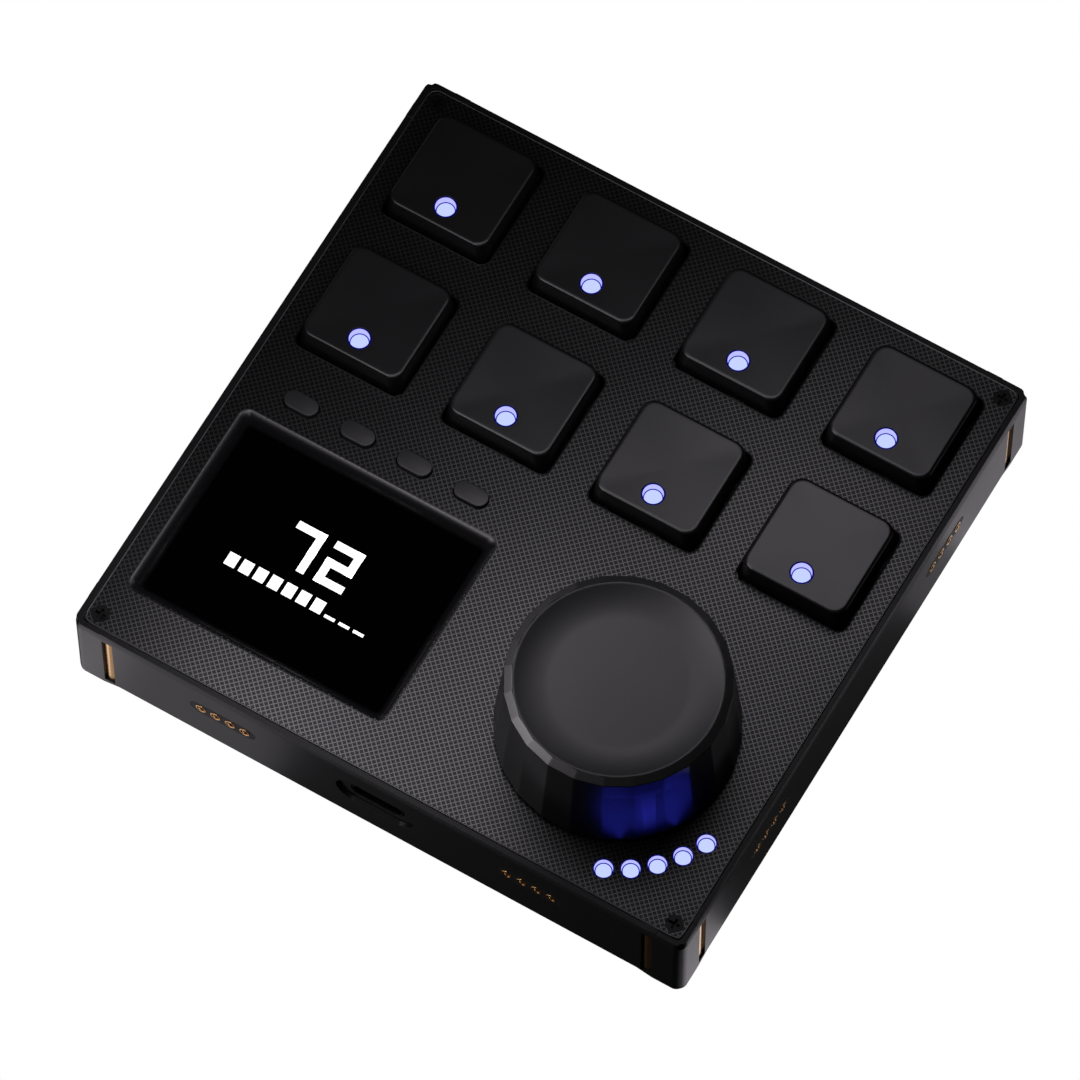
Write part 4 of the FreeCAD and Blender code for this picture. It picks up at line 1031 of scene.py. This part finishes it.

# %% [markdown]
# ## Key springs
# Each switch has a return spring between its floor and the key's stem, which a pressed key closes up. Each coil is
# swept to the size of its CAD spring and stands in its place.


# %% Coils
def coil_tree():
    """A coil of round wire standing on a place."""
    tree, start, end = new_tree("coil", [
        ("Turns", "NodeSocketFloat", 7.0), ("Radius", "NodeSocketFloat", 1.7 * MM),
        ("Rise", "NodeSocketFloat", 6 * MM), ("Wire", "NodeSocketFloat", 0.2 * MM),
        ("Place", "NodeSocketVector", None), ("Finish", "NodeSocketMaterial", None)])
    spiral = add_node(tree, "GeometryNodeCurveSpiral", {
        "Resolution": 20, "Rotations": start.outputs["Turns"], "Start Radius": start.outputs["Radius"],
        "End Radius": start.outputs["Radius"], "Height": start.outputs["Rise"]})
    wire = add_node(tree, "GeometryNodeCurvePrimitiveCircle", {"Resolution": 8, "Radius": start.outputs["Wire"]})
    swept = add_node(tree, "GeometryNodeCurveToMesh", {
        "Curve": spiral.outputs["Curve"], "Profile Curve": wire.outputs["Curve"], "Fill Caps": True})
    placed = add_node(tree, "GeometryNodeTransform", {
        "Geometry": swept.outputs["Mesh"], "Translation": start.outputs["Place"]})
    return close_tree(tree, start, end, placed.outputs["Geometry"])


coil_turns, coil_wire = 7.0, 0.4
for number in range(1, 9):
    node = "key_spring_%d" % number
    low, high = span(node)
    centre = middle(node)
    coil = loops_object("coil_%d" % number, [])
    run_tree(coil, coil_tree(), {
        "Turns": coil_turns, "Radius": (high.x - low.x - coil_wire) / 2 * MM, "Wire": coil_wire / 2 * MM,
        "Rise": (high.z - low.z - coil_wire) * MM,
        "Place": (centre.x * MM, centre.y * MM, (low.z + coil_wire / 2) * MM), "Finish": steel})
    soften(coil.data, crease_deg)
    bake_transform(coil)
    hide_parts(node)
print("coils of", round(high.z - low.z, 2), "mm")

# %% [markdown]
# ## What stays as CAD
# The works inside the case are closed in, and show only when a key is pressed or a cover is off. They keep their
# CAD skins and get plain finishes.

# %% Inner parts
inner_finish = {
    "main_board": board_green, "switch_housings": deep_black, "tact_switches": deep_black,
    "display_panel": deep_black, "encoder_shaft": steel, "encoder_body": steel, "encoder_pusher": deep_black,
    "lamp_pipes": deep_black,
}
for number in range(1, 9):
    inner_finish["key_stem_%d" % number] = deep_black
for node, finish in inner_finish.items():
    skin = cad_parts[node].data
    skin.materials.clear()
    skin.materials.append(finish)
print("inner nodes:", len(inner_finish))

# %% [markdown]
# ## Camera
# The camera was solved from the case's corners, the key grid and the screen in the photograph: a long lens about a
# metre and a half away, looking down from the front right.

# %% Camera
frame_size = 1080
focal_px = 9782.0
sensor_mm = 36.0
camera_place = (307.26, -526.61, 1353.5)
camera_turn = Vector((2.63308, 0.71284, -0.15525))
lens = bpy.data.cameras.new("camera")
lens.sensor_width = sensor_mm
lens.lens = focal_px / frame_size * sensor_mm
camera = new_object("camera", lens)
to_camera = Quaternion(camera_turn.normalized(), camera_turn.length).to_matrix()
flip = Matrix(((1, 0, 0), (0, -1, 0), (0, 0, -1)))
camera.matrix_world = Matrix.Translation(Vector(camera_place) * MM) @ (to_camera.transposed() @ flip).to_4x4()
bpy.context.scene.camera = camera
print("lens of %.0f mm, %.0f mm away" % (lens.lens, Vector(camera_place).length))

# %% [markdown]
# ## Light
# The picture is a cut-out on white with no shadow, so the floor and the world are white only to the camera and to
# rays that pass through something. To all other rays the world is nearly black, because the real pieces mirror dark
# surroundings. Light comes from soft boxes. Those straight above are each mirrored by one part of the level tops,
# the large ones at the left and below light the walls, and small ones close under the edges light their ends. The
# blue on the knob and the plate comes from five narrow lights just over the arc lamps. The floor shines white
# upwards and is clear from below, so that the underside can be looked at.


# %% Lights
def soft_box(name, place, target, width, height, power, colour=(1.0, 0.95, 1.02)):
    """A rectangular light aimed at a point, hidden from the camera."""
    data = bpy.data.lights.new(name, "AREA")
    data.shape = "RECTANGLE"
    data.size, data.size_y = width * MM, height * MM
    data.energy = power
    data.color = colour
    obj = new_object(name, data)
    obj.location = Vector(place) * MM
    aim = (Vector(target) - Vector(place)).normalized()
    obj.rotation_euler = aim.to_track_quat("-Z", "Y").to_euler()
    obj.visible_camera = False
    return obj


near, far = 90.0, 150.0
boxes_above = (
    ("front_left_over_screen", -40, -30, near, 30, 30, 0.0112),
    ("middle_over_screen", -10, -30, near, 30, 30, 0.0041),
    ("middle_over_case", -10, 0, near, 30, 30, 0.0028), ("right_over_case", 20, 0, near, 30, 30, 0.0008),
    ("back_over_case", 20, 60, near, 30, 30, 0.0015), ("right_keys", 20, 46, near, 38, 24, 0.0056),
    ("screen_streak", -28, -58, near, 56, 16, 0.0070), ("high_middle", -15, 30, far, 48, 48, 0.0155),
    ("high_front", -15, -20, far, 48, 48, 0.0101), ("high_right", 30, 30, far, 48, 48, 0.0092),
    ("high_back_right", 30, 80, far, 48, 48, 0.0051),
)
for name, x, y, height, width, depth, power in boxes_above:
    box = soft_box(name, (x, y, height), (x, y, 0), width, depth, power)
    if name == "screen_streak":
        box.rotation_euler.z -= math.radians(45)

case_middle = (0, 0, 12)
boxes_around = (
    ("left_high", (-159, -159, 280), case_middle, 160, 160, 0.163),
    ("left_low", (-281, 162, 143), case_middle, 160, 160, 0.019),
    ("front_below", (-152, -262, -163), case_middle, 160, 160, 0.069),
    ("right_below", (262, 152, -163), case_middle, 160, 160, 0.050),
    ("under_front_left", (-70, -70, -25), (-70, -52, 8), 30, 34, 0.0030),
    ("under_front", (-40, -70, -25), (-40, -52, 8), 30, 34, 0.0012),
    ("under_right_front", (64, -42, -25), (64, -42, 0), 34, 22, 0.0026),
    ("under_right_middle", (62, 38, -25), (62, 38, 0), 34, 18, 0.0005),
    ("under_right_back", (66, 60, -25), (52, 60, 8), 34, 30, 0.0021),
)
for box in boxes_around:
    soft_box(*box)

glow_blue, glow_power = (0.05, 0.06, 1.0), 0.00014
glow_width, glow_length, glow_from_knob, glow_above = 4.1, 9.0, 23.6, 0.2
for number, turn in enumerate(arc_turns, 1):
    x, y = beside_knob(glow_from_knob, turn)
    glow = soft_box(
        "arc_glow_%d" % number, (x, y, plate_top + glow_above), (x, y, plate_top + near), glow_width, glow_length,
        glow_power, glow_blue)
    glow.rotation_euler = (math.pi, 0.0, math.pi / 2 - turn)
print("lights:", len(bpy.data.lights))


# %% World and floor
def white_to_camera(nodes, links, shader, others):
    """White where the camera looks at it, and something else for every other ray."""
    path = nodes.new("ShaderNodeLightPath")
    seen = nodes.new("ShaderNodeMath")
    seen.operation = "MAXIMUM"
    mix = nodes.new("ShaderNodeMix")
    mix.data_type = "RGBA"
    mix.inputs["B"].default_value = (1.0, 1.0, 1.0, 1.0)
    links.new(path.outputs["Is Camera Ray"], seen.inputs[0])
    links.new(path.outputs["Is Transmission Ray"], seen.inputs[1])
    links.new(seen.outputs["Value"], mix.inputs["Factor"])
    links.new(others, mix.inputs["A"])
    links.new(mix.outputs["Result"], shader.inputs["Color"])
    shader.inputs["Strength"].default_value = 1.0


world = bpy.data.worlds.new("world")
bpy.context.scene.world = world
world.use_nodes = True
sky_nodes, sky_links = world.node_tree.nodes, world.node_tree.links
dark = sky_nodes.new("ShaderNodeRGB")
dark.outputs["Color"].default_value = (0.008, 0.008, 0.0083, 1.0)
white_to_camera(sky_nodes, sky_links, sky_nodes["Background"], dark.outputs["Color"])

# The floor: white to a camera above it, and seen by nothing else.
floor_size = 3000.0
corners = ((-1, -1), (1, -1), (1, 1), (-1, 1))
floor = add_object("floor", ([(sx * floor_size, sy * floor_size, 0.0) for sx, sy in corners], [(0, 1, 2, 3)]))
floor_white = bpy.data.materials.new("floor_white")
floor_white.use_nodes = True
floor_nodes, floor_links = floor_white.node_tree.nodes, floor_white.node_tree.links
floor_nodes.clear()
glow = floor_nodes.new("ShaderNodeEmission")
clear = floor_nodes.new("ShaderNodeBsdfTransparent")
side = floor_nodes.new("ShaderNodeNewGeometry")
choose = floor_nodes.new("ShaderNodeMixShader")
done = floor_nodes.new("ShaderNodeOutputMaterial")
floor_links.new(side.outputs["Backfacing"], choose.inputs["Fac"])
floor_links.new(glow.outputs["Emission"], choose.inputs[1])
floor_links.new(clear.outputs["BSDF"], choose.inputs[2])
floor_links.new(choose.outputs["Shader"], done.inputs["Surface"])
floor.data.materials.append(floor_white)
for kind in ("diffuse", "glossy", "transmission", "shadow", "volume_scatter"):
    setattr(floor, "visible_" + kind, False)
bpy.context.scene.view_settings.view_transform = "Standard"
